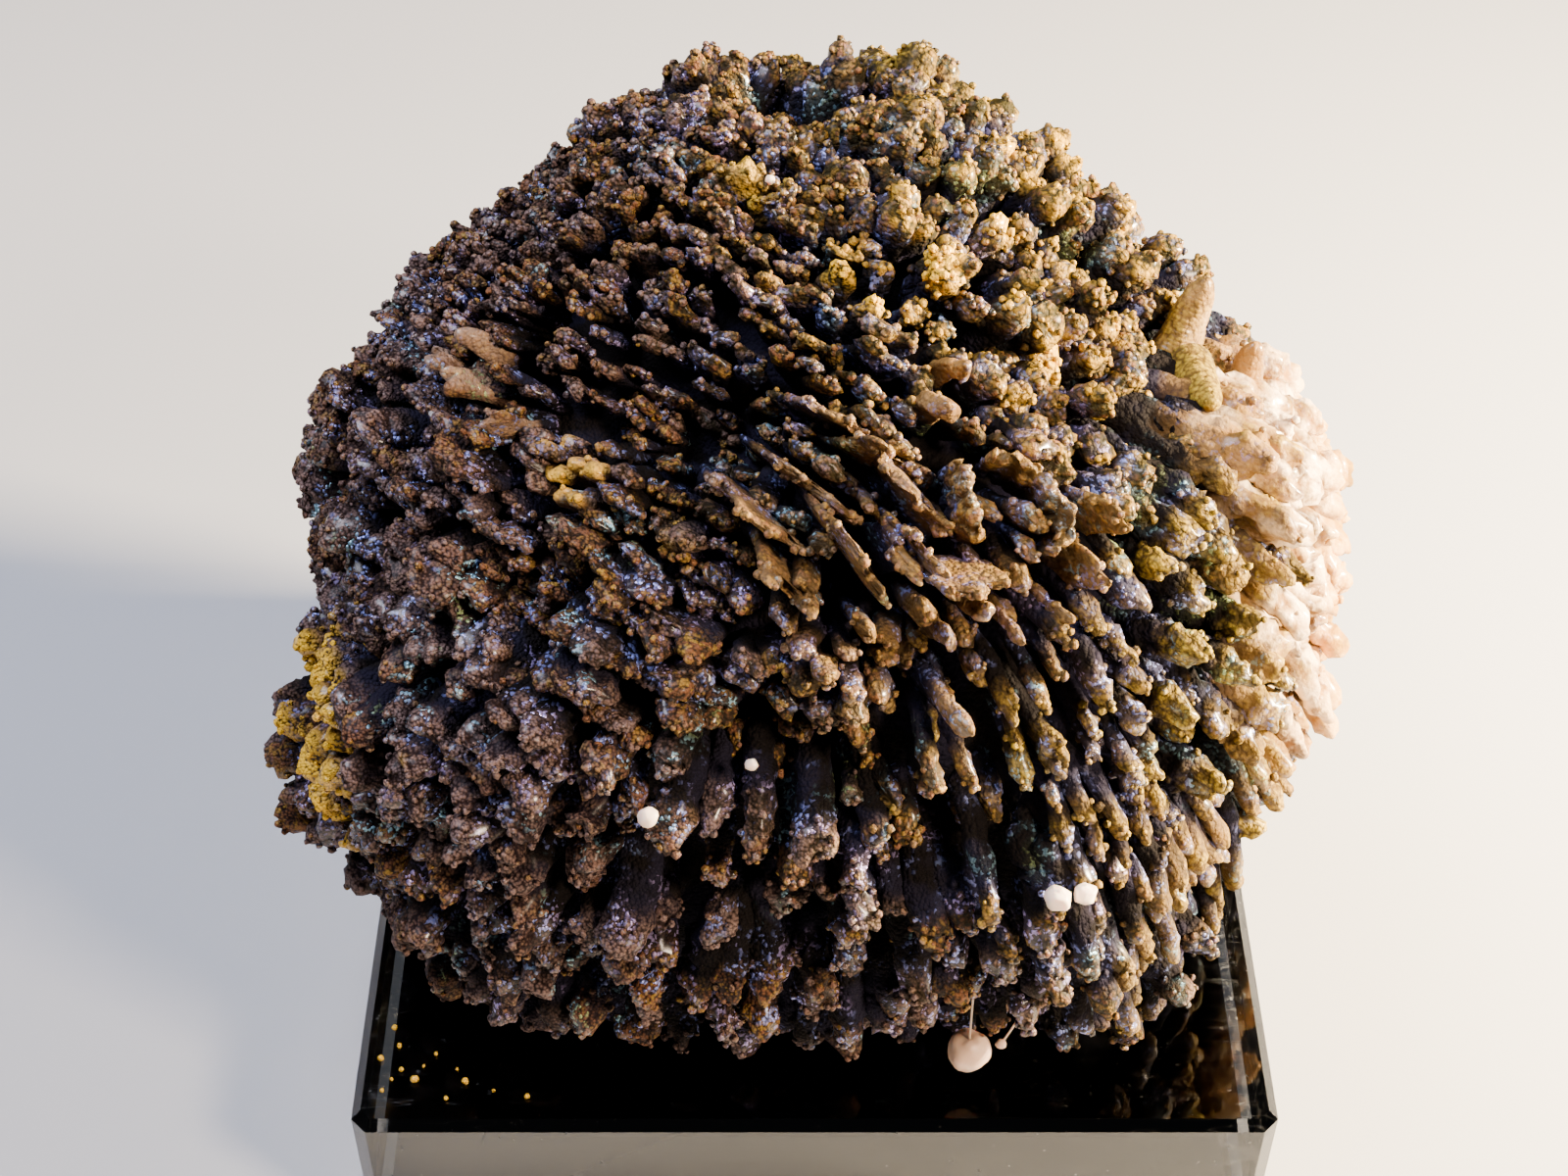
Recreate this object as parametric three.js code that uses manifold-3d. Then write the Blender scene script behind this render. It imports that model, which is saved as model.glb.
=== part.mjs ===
// A goethite specimen, a rounded mass of stubby mineral fingers grown outwards from one heart,
// resting on a clear acrylic display block, with three pale mineral beads on its lower fingers.
// Millimetres, +Z up, origin at the centre of the block's underside, -Y towards the viewer.
import * as THREE from "three";
import { ConvexHull } from "three/addons/math/ConvexHull.js";
import { mergeVertices } from "three/addons/utils/BufferGeometryUtils.js";
import Module from "manifold-3d";

const wasm = await Module();
wasm.setup();

// Driving dimensions
const BLOCK_SIDE = 76;
const BLOCK_HEIGHT = 19;
const BLOCK_CHAMFER = 0.8;
const REST_GAP = 0.3;

// The heart is the point that the mass grew from. The face that grew best looks up and forwards.
const HEART = new THREE.Vector3(-0.4, -0.3, 44.5);
const FACE_TILT = 45;
const FACE_REACH = 41;
const BACK_REACH = 40;
// Reach of the outline round the face, every 18 degrees, anticlockwise from the right
const RIM_REACH = [
  43.7, 43.8, 39.6, 39.4, 42.6, 41.4, 42.1, 40.6, 41.3, 42.9, 41.2, 46.1, 45.0, 44.0, 40.0, 38.4, 38.6,
  46.2, 42.8, 43.3,
];

// Clumps of fingers that cover the mass, smaller on the face than on the back
const CLUMPS = 430;
const FACE_CROWDING = 0.3;
const CLUMP_JITTER = 0.26;
const CLUMP_UNEVENNESS = 1.2;
const CLUMP_WAIST = 0.7;
const SHOULDER_DROP = 1.0;
const GROOVE_DEPTH = 4.8;
const GROOVE_UNEVENNESS = 0.4;
const DROOP = new THREE.Vector3(0.12, 0, -0.3);

// On the left of the face the clumps run together into slanting ridges.
const RIDGES = { across: -20, up: 6, spread: 17, heading: -33, spacing: 6.5, fill: 0.7, rise: 0.9 };

// Swellings and hollows of the whole mass. Across and up are seen from in front of the face.
const SWELLINGS = [
  { across: 8.3, up: 40.7, height: 2.6, spread: 6 },
  { across: -8.4, up: 39.2, height: 1.6, spread: 6 },
  { across: 20.9, up: 25.8, height: 1.8, spread: 7 },
  { across: 8.1, up: 28.3, height: 1.6, spread: 6 },
  { across: 4, up: 2, height: 1.8, spread: 8 },
  { across: 15, up: 4.5, height: 1.6, spread: 5 },
  { across: 3, up: -9, height: 1.2, spread: 6 },
  { across: -22, up: -10, height: 1.6, spread: 8 },
  { across: -34, up: 15, height: 1.5, spread: 6 },
  { across: 33, up: 6, height: 1.5, spread: 6 },
];
const HOLLOWS = [
  { across: -2.3, up: 38, height: -3.5, spread: 3.5 },
  { across: -13.1, up: 12.9, height: -3.0, spread: 4.5 },
  { across: -7.5, up: 10.7, height: -3.5, spread: 4.5 },
  { across: 27, up: 12, height: -3.0, spread: 4 },
  { across: 8.7, up: -8.2, height: -3.0, spread: 4 },
  { across: -22, up: -2, height: -2.0, spread: 5 },
  { across: -5.6, up: -12.6, height: -3.0, spread: 4.5 },
  { across: 2, up: -13.5, height: -2.5, spread: 4.5 },
  { across: -14, up: -24.5, height: -2.5, spread: 5 },
  { across: -4, up: -25, height: -2.5, spread: 4.5 },
  { across: 13.4, up: -20.3, height: -3.0, spread: 4.5 },
];

// Single horns that stand clear of the clumps at the right: foot on the face, lean, and size
const HORNS = [
  { across: 28.7, up: 18, lean: [0.36, 0.93, 0.05], length: 9, radius: 2.3 },
  { across: 30, up: 15, lean: [0.35, 0.1, 0.93], length: 5, radius: 1.5 },
  { across: 40.5, up: 12.7, lean: [-0.15, 0.98, 0.1], length: 8, radius: 2.1 },
  { across: 36.5, up: 15, lean: [0.2, 0.9, 0.3], length: 5, radius: 1.7 },
];
// Tips of the long fingers that hang at the foot of the face
const FRINGE = [
  { across: -22.5, up: -36.1 },
  { across: -17.6, up: -34.9 },
  { across: -13.9, up: -36.4 },
  { across: -10.5, up: -37.4 },
  { across: -3.6, up: -34.4 },
  { across: 3.1, up: -37.1 },
  { across: 8.6, up: -34.2 },
  { across: 16.5, up: -34.4 },
  { across: 20.7, up: -37.6 },
  { across: 25.8, up: -37.1 },
  { across: 29.9, up: -33.6 },
  { across: 31.8, up: -29.7 },
];
const FRINGE_LENGTH = 10;
const FRINGE_RADIUS = 1.7;
const FRINGE_REACH = 0.8;
// Thin plates that stand on edge near the middle of the face: place, heading in the face, and size
const PLATES = [
  { across: -0.1, up: 5.6, heading: -38, width: 9, length: 6, thickness: 1.5 },
  { across: -2.8, up: 2.9, heading: -42, width: 8, length: 6, thickness: 1.4 },
  { across: 2.9, up: 1.2, heading: -50, width: 8, length: 6, thickness: 1.5 },
  { across: 6.2, up: 4.4, heading: -45, width: 7, length: 6, thickness: 1.4 },
  { across: 11.7, up: 6.5, heading: -75, width: 7, length: 6, thickness: 1.5 },
  { across: 16.2, up: 4.2, heading: -50, width: 8, length: 7, thickness: 1.7 },
  { across: 11, up: -0.9, heading: -5, width: 8, length: 5.5, thickness: 1.9 },
];
const PLATE_STANDS_OUT = 1.5;
// Pale beads: centre and radius, and where the hair-thin stalk of the hanging one starts
const BEADS = [
  { name: "hanging_bead", at: [12.4, -34.5, 24.7], radius: 1.65, stalk: [12.5, -34.3, 30.2] },
  { name: "left_bead", at: [17.3, -40.2, 51.9], radius: 1.15 },
  { name: "right_bead", at: [19.5, -39.3, 51.3], radius: 0.95 },
];
const STALK_RADIUS = 0.3;
const BEAD_GAP = 0.35;
const BEAD_FINGER = { length: 9, radius: 1.6 };

const TURN = Math.PI * 2;
const radians = THREE.MathUtils.degToRad;
const OUT = new THREE.Vector3(0, -Math.cos(radians(FACE_TILT)), Math.sin(radians(FACE_TILT)));
const RIGHT = new THREE.Vector3(1, 0, 0);
const UP = new THREE.Vector3().crossVectors(OUT, RIGHT);

// A repeatable random number from -1 to 1 for piece i
function chance(i, salt) {
  const x = Math.sin(i * 12.9898 + salt * 78.233) * 43758.5453;
  return (x - Math.floor(x)) * 2 - 1;
}

// A direction from its parts across, up and out of the face
function faceDirection(across, up, out) {
  return new THREE.Vector3()
    .addScaledVector(RIGHT, across)
    .addScaledVector(UP, up)
    .addScaledVector(OUT, out)
    .normalize();
}

// The rim's reach at a clock angle, by a smooth curve through RIM_REACH
function rimReach(clock) {
  const n = RIM_REACH.length;
  const x = (((clock / TURN) % 1) + 1) * n;
  const i = Math.floor(x);
  const s = x - i;
  const [a, b, c, d] = [-1, 0, 1, 2].map((k) => RIM_REACH[(i + k) % n]);
  const cubic = 3 * b - a - 3 * c + d;
  const square = 2 * a - 5 * b + 4 * c - d;
  return b + 0.5 * s * (c - a + s * (square + s * cubic));
}

// The direction from the heart to a place on the face
function towards({ across, up }) {
  const flat = Math.hypot(across, up);
  const reach = Math.max(rimReach(Math.atan2(up, across)), flat);
  return faceDirection(across, up, Math.sqrt(reach ** 2 - flat ** 2));
}

const RELIEF = [...SWELLINGS, ...HOLLOWS].map((r) => ({ ...r, at: towards(r) }));

// The distance from the heart to the finger tips in a direction
function tipReach(d) {
  const facing = d.dot(OUT);
  const rim = rimReach(Math.atan2(d.dot(UP), d.dot(RIGHT)));
  const middle = facing > 0 ? FACE_REACH : BACK_REACH;
  let reach = rim + (middle - rim) * facing ** 2;
  for (const { at, height, spread } of RELIEF) {
    const off = (at.distanceTo(d) * FACE_REACH) / spread;
    reach += height * Math.exp(-off * off);
  }
  return reach;
}

// How far along the crest of a slanting ridge a direction is, from 0 in a furrow to 1 on a crest
const ridgeMiddle = towards(RIDGES);
const ridgeAcross = faceDirection(-Math.sin(radians(RIDGES.heading)), Math.cos(radians(RIDGES.heading)), 0);
function ridgeCrest(d) {
  const off = (ridgeMiddle.distanceTo(d) * FACE_REACH) / RIDGES.spread;
  const wave = Math.cos((TURN * d.dot(ridgeAcross) * FACE_REACH) / RIDGES.spacing);
  return { share: Math.exp(-(off ** 4)), crest: 0.5 + 0.5 * wave };
}

// How deep the grooves between clumps are: deeper at the foot of the face, shallower on the right
function grooveDepth(d) {
  const foot = THREE.MathUtils.smoothstep(-d.dot(UP), 0.2, 0.7);
  const right = THREE.MathUtils.smoothstep(d.dot(RIGHT), 0.6, 0.9);
  return GROOVE_DEPTH + 1.4 * foot - 1.4 * right;
}

// A point over a direction. Above the grooves the fingers droop as they grow.
function grown(d, reach) {
  const over = Math.max(0, reach - tipReach(d) + grooveDepth(d));
  const droop = DROOP.clone().addScaledVector(d, -DROOP.dot(d));
  return d.clone().multiplyScalar(reach).addScaledVector(droop, over).add(HEART);
}

// A corner between clumps: some grooves are half filled, and so are those along a ridge's crest.
function grooveCorner(d, i) {
  const { share, crest } = ridgeCrest(d);
  const filled = 1 - share * crest * RIDGES.fill;
  const depth = grooveDepth(d) * filled * (1 + GROOVE_UNEVENNESS * chance(i, 5));
  return grown(d, tipReach(d) - depth);
}

// Evenly spread directions by the golden angle, denser on the face, each moved a little by chance
function spreadDirections(count) {
  const golden = Math.PI * (3 - Math.sqrt(5));
  const step = Math.sqrt((2 * TURN) / count) * CLUMP_JITTER;
  return Array.from({ length: count }, (_, i) => {
    const share = (i + 0.5) / count;
    const out = 1 - 2 * share * (1 - FACE_CROWDING + FACE_CROWDING * share);
    const flat = Math.sqrt(1 - out * out);
    return faceDirection(
      flat * Math.cos(i * golden) + step * chance(i, 1),
      flat * Math.sin(i * golden) + step * chance(i, 2),
      out + step * chance(i, 3),
    );
  });
}

// For each direction, the corners of its cell on the sphere, anticlockwise seen from outside
function cellsOf(directions) {
  const hull = new ConvexHull().setFromPoints(directions);
  const numberOf = new Map(directions.map((d, i) => [d, i]));
  const corners = [];
  const rings = directions.map(() => []);
  for (const face of hull.faces) {
    const corner = corners.push(face.normal.clone().normalize()) - 1;
    let edge = face.edge;
    do {
      rings[numberOf.get(edge.head().point)].push(corner);
      edge = edge.next;
    } while (edge !== face.edge);
  }
  rings.forEach((ring, i) => {
    const east = new THREE.Vector3(0, 0, 1).cross(directions[i]).normalize();
    const north = directions[i].clone().cross(east);
    const angle = (k) => Math.atan2(corners[k].dot(north), corners[k].dot(east));
    ring.sort((a, b) => angle(a) - angle(b));
  });
  return { corners, rings };
}

// The mass as one closed surface, with grooves along the cells' edges and a domed clump in each
function clumpedMass() {
  const directions = spreadDirections(CLUMPS);
  const { corners, rings } = cellsOf(directions);
  const points = corners.map(grooveCorner);
  const index = [];
  rings.forEach((ring, i) => {
    const own = directions[i];
    const { share, crest } = ridgeCrest(own);
    const uneven = CLUMP_UNEVENNESS * chance(i, 4) + share * RIDGES.rise * (2 * crest - 1);
    const apex = points.push(grown(own, tipReach(own) + uneven)) - 1;
    const shoulder = ring.map((k) => {
      const d = own.clone().lerp(corners[k], CLUMP_WAIST).normalize();
      return points.push(grown(d, tipReach(d) + uneven - SHOULDER_DROP)) - 1;
    });
    ring.forEach((low, k) => {
      const next = (k + 1) % ring.length;
      index.push(apex, shoulder[k], shoulder[next]);
      index.push(shoulder[k], low, ring[next]);
      index.push(shoulder[k], ring[next], shoulder[next]);
    });
  });
  return new THREE.BufferGeometry().setFromPoints(points).setIndex(index);
}

// A closed geometry as a solid that can be joined and cut
function solidOf(geometry) {
  const bare = new THREE.BufferGeometry();
  bare.setAttribute("position", geometry.getAttribute("position").clone());
  bare.setIndex(geometry.index);
  const merged = mergeVertices(bare, 1e-3);
  const faces = [];
  for (let i = 0; i < merged.index.count; i += 3) {
    const [a, b, c] = [0, 1, 2].map((k) => merged.index.getX(i + k));
    if (a !== b && b !== c && c !== a) faces.push(a, b, c);
  }
  return new wasm.Manifold(
    new wasm.Mesh({
      numProp: 3,
      vertProperties: new Float32Array(merged.attributes.position.array),
      triVerts: new Uint32Array(faces),
    }),
  );
}

// A solid as a geometry again, with flat facets
function geometryOf(solid) {
  const mesh = solid.getMesh();
  const geometry = new THREE.BufferGeometry();
  geometry.setAttribute("position", new THREE.BufferAttribute(new Float32Array(mesh.vertProperties), 3));
  geometry.setIndex(new THREE.BufferAttribute(new Uint32Array(mesh.triVerts), 1));
  const facets = geometry.toNonIndexed();
  facets.computeVertexNormals();
  return facets;
}

// Turns a geometry's +Y to an axis and moves it to a place
function placed(geometry, axis, place) {
  const turn = new THREE.Quaternion().setFromUnitVectors(new THREE.Vector3(0, 1, 0), axis);
  return solidOf(geometry.applyQuaternion(turn).translate(place.x, place.y, place.z));
}

// A tapered finger of round section with a blunt tip, from its tip back along its axis
function finger(tip, axis, length, radius) {
  const profile = [
    new THREE.Vector2(0, -length),
    new THREE.Vector2(radius * 1.2, -length),
    new THREE.Vector2(radius * 0.8, -radius * 0.7),
    new THREE.Vector2(0, 0),
  ];
  return placed(new THREE.LatheGeometry(profile, 7), axis, tip);
}

function horn(spec) {
  const d = towards(spec);
  const axis = faceDirection(...spec.lean);
  const foot = d.multiplyScalar(tipReach(d) - 3).add(HEART);
  return finger(foot.clone().addScaledVector(axis, spec.length), axis, spec.length + 3, spec.radius);
}

// A hanging finger of the fringe, whose tip stays clear of the block
function fringeFinger(spec, i) {
  const d = towards(spec);
  const tip = d.clone().multiplyScalar(tipReach(d) + FRINGE_REACH).add(HEART);
  tip.z = Math.max(tip.z, BLOCK_HEIGHT + 1.2);
  return finger(tip, d.add(DROOP).normalize(), FRINGE_LENGTH, FRINGE_RADIUS * (1 + 0.15 * chance(i, 7)));
}

// A plate on edge: a thin slab with a ragged top, sunk into the mass along its own direction
function plate(spec, i) {
  const { width, length, thickness } = spec;
  const ragged = (k) => 0.85 + 0.15 * chance(i, 10 + k);
  const outline = new THREE.Shape();
  outline.moveTo(-width * 0.4, -length);
  outline.lineTo(width * 0.4, -length);
  outline.lineTo(width * 0.5, -length * 0.25 * ragged(0));
  outline.lineTo(width * 0.2, 0);
  outline.lineTo(-width * 0.15, -length * 0.15 * ragged(1));
  outline.lineTo(-width * 0.5, -length * 0.3 * ragged(2));
  outline.closePath();
  const geometry = new THREE.ExtrudeGeometry(outline, { depth: thickness, bevelEnabled: false });
  geometry.translate(0, 0, -thickness / 2);
  const d = towards(spec);
  const lean = d.clone().add(DROOP).normalize();
  const along = faceDirection(Math.cos(radians(spec.heading)), Math.sin(radians(spec.heading)), 0);
  along.addScaledVector(lean, -along.dot(lean)).normalize();
  const thin = new THREE.Vector3().crossVectors(along, lean);
  geometry.applyMatrix4(new THREE.Matrix4().makeBasis(along, lean, thin));
  const top = d.multiplyScalar(tipReach(d) + PLATE_STANDS_OUT).add(HEART);
  return solidOf(geometry.translate(top.x, top.y, top.z));
}

// The finger that carries a bead on its tip
function beadFinger({ at, radius }) {
  const centre = new THREE.Vector3(...at);
  const axis = centre.clone().sub(HEART).normalize();
  const tip = centre.addScaledVector(axis, -radius / 2);
  return finger(tip, axis, BEAD_FINGER.length, BEAD_FINGER.radius);
}

// A bead with its stalk, or, with a gap, the room that it sits in
function bead({ at, radius, stalk }, gap) {
  const centre = new THREE.Vector3(...at);
  const ball = new THREE.IcosahedronGeometry(radius + gap, 1);
  const solid = solidOf(ball.translate(...at));
  if (!stalk) return solid;
  const axis = new THREE.Vector3(...stalk).sub(centre);
  const length = axis.length() + gap;
  axis.normalize();
  const rod = new THREE.CylinderGeometry(STALK_RADIUS + gap, STALK_RADIUS + gap, length, 5);
  return solid.add(placed(rod, axis, centre.addScaledVector(axis, length / 2)));
}

// Everything below the block's top face, and the gap over it
function belowTheRest() {
  const size = BLOCK_SIDE * 3;
  const slab = new THREE.BoxGeometry(size, size, size);
  return solidOf(slab.translate(0, 0, BLOCK_HEIGHT + REST_GAP - size / 2));
}

function goethite() {
  let mass = solidOf(clumpedMass());
  for (const spec of HORNS) mass = mass.add(horn(spec));
  FRINGE.forEach((spec, i) => {
    mass = mass.add(fringeFinger(spec, i));
  });
  PLATES.forEach((spec, i) => {
    mass = mass.add(plate(spec, i));
  });
  for (const spec of BEADS) if (!spec.stalk) mass = mass.add(beadFinger(spec));
  for (const spec of BEADS) mass = mass.subtract(bead(spec, BEAD_GAP));
  mass = mass.subtract(belowTheRest());
  return mass.decompose().sort((a, b) => b.volume() - a.volume())[0];
}

// The clear block: a square slab with all its edges and corners polished to a narrow chamfer
function block() {
  const half = BLOCK_SIDE / 2 - BLOCK_CHAMFER;
  const cut = BLOCK_CHAMFER;
  const outline = new THREE.Shape();
  outline.moveTo(half - cut, -half);
  outline.lineTo(half, -half + cut);
  outline.lineTo(half, half - cut);
  outline.lineTo(half - cut, half);
  outline.lineTo(-half + cut, half);
  outline.lineTo(-half, half - cut);
  outline.lineTo(-half, -half + cut);
  outline.lineTo(-half + cut, -half);
  outline.closePath();
  const geometry = new THREE.ExtrudeGeometry(outline, {
    depth: BLOCK_HEIGHT - 2 * BLOCK_CHAMFER,
    bevelThickness: BLOCK_CHAMFER,
    bevelSize: BLOCK_CHAMFER,
    bevelSegments: 1,
  });
  return geometry.translate(0, 0, BLOCK_CHAMFER);
}

function finish(color, roughness, metalness) {
  return new THREE.MeshStandardMaterial({ color, roughness, metalness });
}

function piece(name, geometry, material) {
  const mesh = new THREE.Mesh(geometry, material);
  mesh.name = name;
  return mesh;
}

const clear = finish(0xe8f0f0, 0.05, 0);
clear.transparent = true;
clear.opacity = 0.3;

const specimen = new THREE.Group();
specimen.add(piece("acrylic_block", block(), clear));
specimen.add(piece("goethite", geometryOf(goethite()), finish(0x4a3024, 0.6, 0.1)));
for (const spec of BEADS) {
  specimen.add(piece(spec.name, geometryOf(bead(spec, 0)), finish(0xe9dcc2, 0.5, 0)));
}

export default specimen;
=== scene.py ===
# %% [markdown]
# # A goethite specimen on a clear block
# The stone is one mass of thousands of stubby fingers that all grew outwards from one heart. Their tips
# are beaded and matte brown, their sides are painted dark, as shade, and glint blue and violet, and some
# tips are dusted with ochre. It rests on a clear acrylic block. This lesson grows the fingers as numpy
# surfaces over the imported solids, and gives each finish a procedural material.

# %% Load the imported solids
import bpy
import numpy as np
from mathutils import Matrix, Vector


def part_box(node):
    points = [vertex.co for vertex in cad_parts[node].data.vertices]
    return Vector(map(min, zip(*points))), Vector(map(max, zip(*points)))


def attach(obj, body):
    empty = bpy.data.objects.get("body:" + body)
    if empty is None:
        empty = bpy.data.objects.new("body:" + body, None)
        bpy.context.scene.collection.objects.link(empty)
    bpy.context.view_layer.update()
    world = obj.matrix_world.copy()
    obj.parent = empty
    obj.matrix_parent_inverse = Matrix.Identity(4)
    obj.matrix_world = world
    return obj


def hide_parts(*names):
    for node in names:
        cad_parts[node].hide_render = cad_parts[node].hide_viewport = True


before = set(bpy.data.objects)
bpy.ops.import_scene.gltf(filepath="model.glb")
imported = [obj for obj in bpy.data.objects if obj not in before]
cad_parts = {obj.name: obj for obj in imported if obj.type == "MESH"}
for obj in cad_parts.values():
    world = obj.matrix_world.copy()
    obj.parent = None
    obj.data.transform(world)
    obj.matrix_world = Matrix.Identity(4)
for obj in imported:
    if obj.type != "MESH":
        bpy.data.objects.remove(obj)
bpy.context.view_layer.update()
MM = 0.001
BLOCK_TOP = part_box("acrylic_block")[1][2] / MM
print("nodes:", sorted(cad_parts), "block top at", round(BLOCK_TOP, 2), "mm")

# %% [markdown]
# ## Camera
# The photograph looks down at 45 degrees. The focal length was found from the block's top edges: 2600
# pixels on a picture 1600 wide, which is a 58.5 mm lens on Blender's 36 mm sensor.

# %% Put the camera where the photograph was taken
CAMERA_PLACE = np.array([-2.51, -153.6, 196.63])
CAMERA_TILT = np.radians(45)
PICTURE_WIDTH = 1600
FOCAL_PIXELS = 2600
SENSOR = 36


def place_in_scene(name, data):
    """An object made of some data, linked into the scene."""
    placed = bpy.data.objects.new(name, data)
    bpy.context.scene.collection.objects.link(placed)
    return placed


lens = bpy.data.cameras.new("camera")
lens.sensor_width = SENSOR
lens.sensor_fit = "HORIZONTAL"
lens.lens = FOCAL_PIXELS / PICTURE_WIDTH * SENSOR
lens.clip_start = 0.01
camera = place_in_scene("camera", lens)
camera.location = CAMERA_PLACE * MM
camera.rotation_euler = (CAMERA_TILT, 0, 0)
bpy.context.scene.camera = camera
print("lens", round(lens.lens, 1), "mm")

# %% [markdown]
# ## The shape of the whole mass
# Every place on the stone is a direction from its heart. For each direction, a smooth envelope says how
# far out the finger tips reach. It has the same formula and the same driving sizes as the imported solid:
# a rim of measured reaches round the face, a reach to the front and one to the back, and gentle
# swellings and hollows. Working on directions keeps each step a few lines of array code.

# %% Directions and the envelope
HEART = np.array([-0.4, -0.3, 44.5])
FACE_TILT = np.radians(45)
FACE_REACH = 41
BACK_REACH = 40
RIM_REACH = np.array([43.7, 43.8, 39.6, 39.4, 42.6, 41.4, 42.1, 40.6, 41.3, 42.9, 41.2, 46.1, 45.0, 44.0,
                      40.0, 38.4, 38.6, 46.2, 42.8, 43.3])
OUT = np.array([0, -np.cos(FACE_TILT), np.sin(FACE_TILT)])
RIGHT = np.array([1.0, 0, 0])
UP = np.cross(OUT, RIGHT)
# Each row: across, up, height, spread, in millimetres seen from in front of the face
RELIEF = np.array([
    [8.3, 40.7, 2.6, 6], [-8.4, 39.2, 1.6, 6], [20.9, 25.8, 1.8, 7], [8.1, 28.3, 1.6, 6],
    [4, 2, 1.8, 8], [15, 4.5, 1.6, 5], [3, -9, 1.2, 6], [-22, -10, 1.6, 8], [-34, 15, 1.5, 6],
    [33, 6, 1.5, 6], [-2.3, 38, -3.5, 3.5], [-13.1, 12.9, -3.0, 4.5], [-7.5, 10.7, -3.5, 4.5],
    [27, 12, -3.0, 4], [8.7, -8.2, -3.0, 4], [-22, -2, -2.0, 5], [-5.6, -12.6, -3.0, 4.5],
    [2, -13.5, -2.5, 4.5], [-14, -24.5, -2.5, 5], [-4, -25, -2.5, 4.5], [13.4, -20.3, -3.0, 4.5],
])


def unit(v):
    """Each vector divided by its length."""
    return v / np.linalg.norm(v, axis=-1, keepdims=True)


def face_direction(across, up, out):
    """The direction made of its parts across, up and out of the face."""
    parts = np.stack(np.broadcast_arrays(across, up, out), axis=-1).astype(float)
    return unit(parts @ np.array([RIGHT, UP, OUT]))


def rim_reach(clock):
    """A smooth closed curve through RIM_REACH: a cubic between each two values (Catmull-Rom)."""
    n = len(RIM_REACH)
    x = (np.asarray(clock) / (2 * np.pi)) % 1 * n
    i = np.floor(x).astype(int)
    s = x - i
    a, b, c, d = (RIM_REACH[(i + k) % n] for k in (-1, 0, 1, 2))
    return b + 0.5 * s * (c - a + s * (2 * a - 5 * b + 4 * c - d + s * (3 * b - a - 3 * c + d)))


def towards(across, up):
    """The direction from the heart to a place on the face: out is what is left of the rim's reach."""
    across, up = np.asarray(across, float), np.asarray(up, float)
    flat = np.hypot(across, up)
    reach = np.maximum(rim_reach(np.arctan2(up, across)), flat)
    return face_direction(across, up, np.sqrt(reach ** 2 - flat ** 2))


RELIEF_AT = towards(RELIEF[:, 0], RELIEF[:, 1])


def tip_reach(d, deeper=0):
    """How far the tips reach: the rim's reach times sin squared of the angle from the face's middle,
    plus the front or back reach times cos squared, plus a bell curve for each swelling or hollow. The
    hollows can be made deeper by a share."""
    facing = d @ OUT
    rim = rim_reach(np.arctan2(d @ UP, d @ RIGHT))
    reach = rim + (np.where(facing > 0, FACE_REACH, BACK_REACH) - rim) * facing ** 2
    for at, (_, _, height, spread) in zip(RELIEF_AT, RELIEF):
        off = np.linalg.norm(d - at, axis=-1) * FACE_REACH / spread
        reach = reach + height * (1 if height > 0 else 1 + deeper) * np.exp(-off ** 2)
    return reach


print("reach at the middle of the face", round(float(tip_reach(OUT)), 1), "mm")

# %% [markdown]
# ## Clumps
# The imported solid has 430 clumps, spread by the golden angle and moved a little by chance. The same
# sines give the same chances here, so every finger can find the clump that it belongs to.

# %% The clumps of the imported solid
CLUMPS = 430
FACE_CROWDING = 0.3
CLUMP_JITTER = 0.26
CLUMP_UNEVENNESS = 1.2
GROOVE_DEPTH = 4.8
DROOP = np.array([0.12, 0, -0.3])
RIDGE_AT = towards(-20, 6)
RIDGE_SPREAD, RIDGE_HEADING, RIDGE_SPACING, RIDGE_RISE = 17, np.radians(-33), 6.5, 0.9


def chance(i, salt):
    """A number from -1 to 1 that looks random: the far decimals of a large sine."""
    x = np.sin(i * 12.9898 + salt * 78.233) * 43758.5453
    return (x - np.floor(x)) * 2 - 1


def golden_directions(count, crowding, jitter):
    """Points on a sphere, each turned by the golden angle from the last, denser towards the face."""
    i = np.arange(count)
    share = (i + 0.5) / count
    out = 1 - 2 * share * (1 - crowding + crowding * share)
    flat = np.sqrt(1 - out ** 2)
    turn = i * np.pi * (3 - np.sqrt(5))
    step = np.sqrt(4 * np.pi / count) * jitter
    return face_direction(flat * np.cos(turn) + step * chance(i, 1),
                          flat * np.sin(turn) + step * chance(i, 2), out + step * chance(i, 3))


def ridge_crest(d):
    """The share of a place that lies among the slanting ridges, and how near it is to a crest."""
    off = np.linalg.norm(d - RIDGE_AT, axis=-1) * FACE_REACH / RIDGE_SPREAD
    across = face_direction(-np.sin(RIDGE_HEADING), np.cos(RIDGE_HEADING), 0)
    wave = np.cos(2 * np.pi * (d @ across) * FACE_REACH / RIDGE_SPACING)
    return np.exp(-off ** 4), 0.5 + 0.5 * wave


def smooth_step(x, low, high):
    """0 below low, 1 above high, and an S-shaped cubic between."""
    t = np.clip((x - low) / (high - low), 0, 1)
    return t * t * (3 - 2 * t)


def groove_depth(d):
    """Grooves are deeper at the foot of the face and shallower on the right."""
    return GROOVE_DEPTH + 1.4 * smooth_step(-(d @ UP), 0.2, 0.7) - 1.4 * smooth_step(d @ RIGHT, 0.6, 0.9)


CLUMP_AT = golden_directions(CLUMPS, FACE_CROWDING, CLUMP_JITTER)
share, crest = ridge_crest(CLUMP_AT)
CLUMP_RISE = CLUMP_UNEVENNESS * chance(np.arange(CLUMPS), 4) + share * RIDGE_RISE * (2 * crest - 1)


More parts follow.
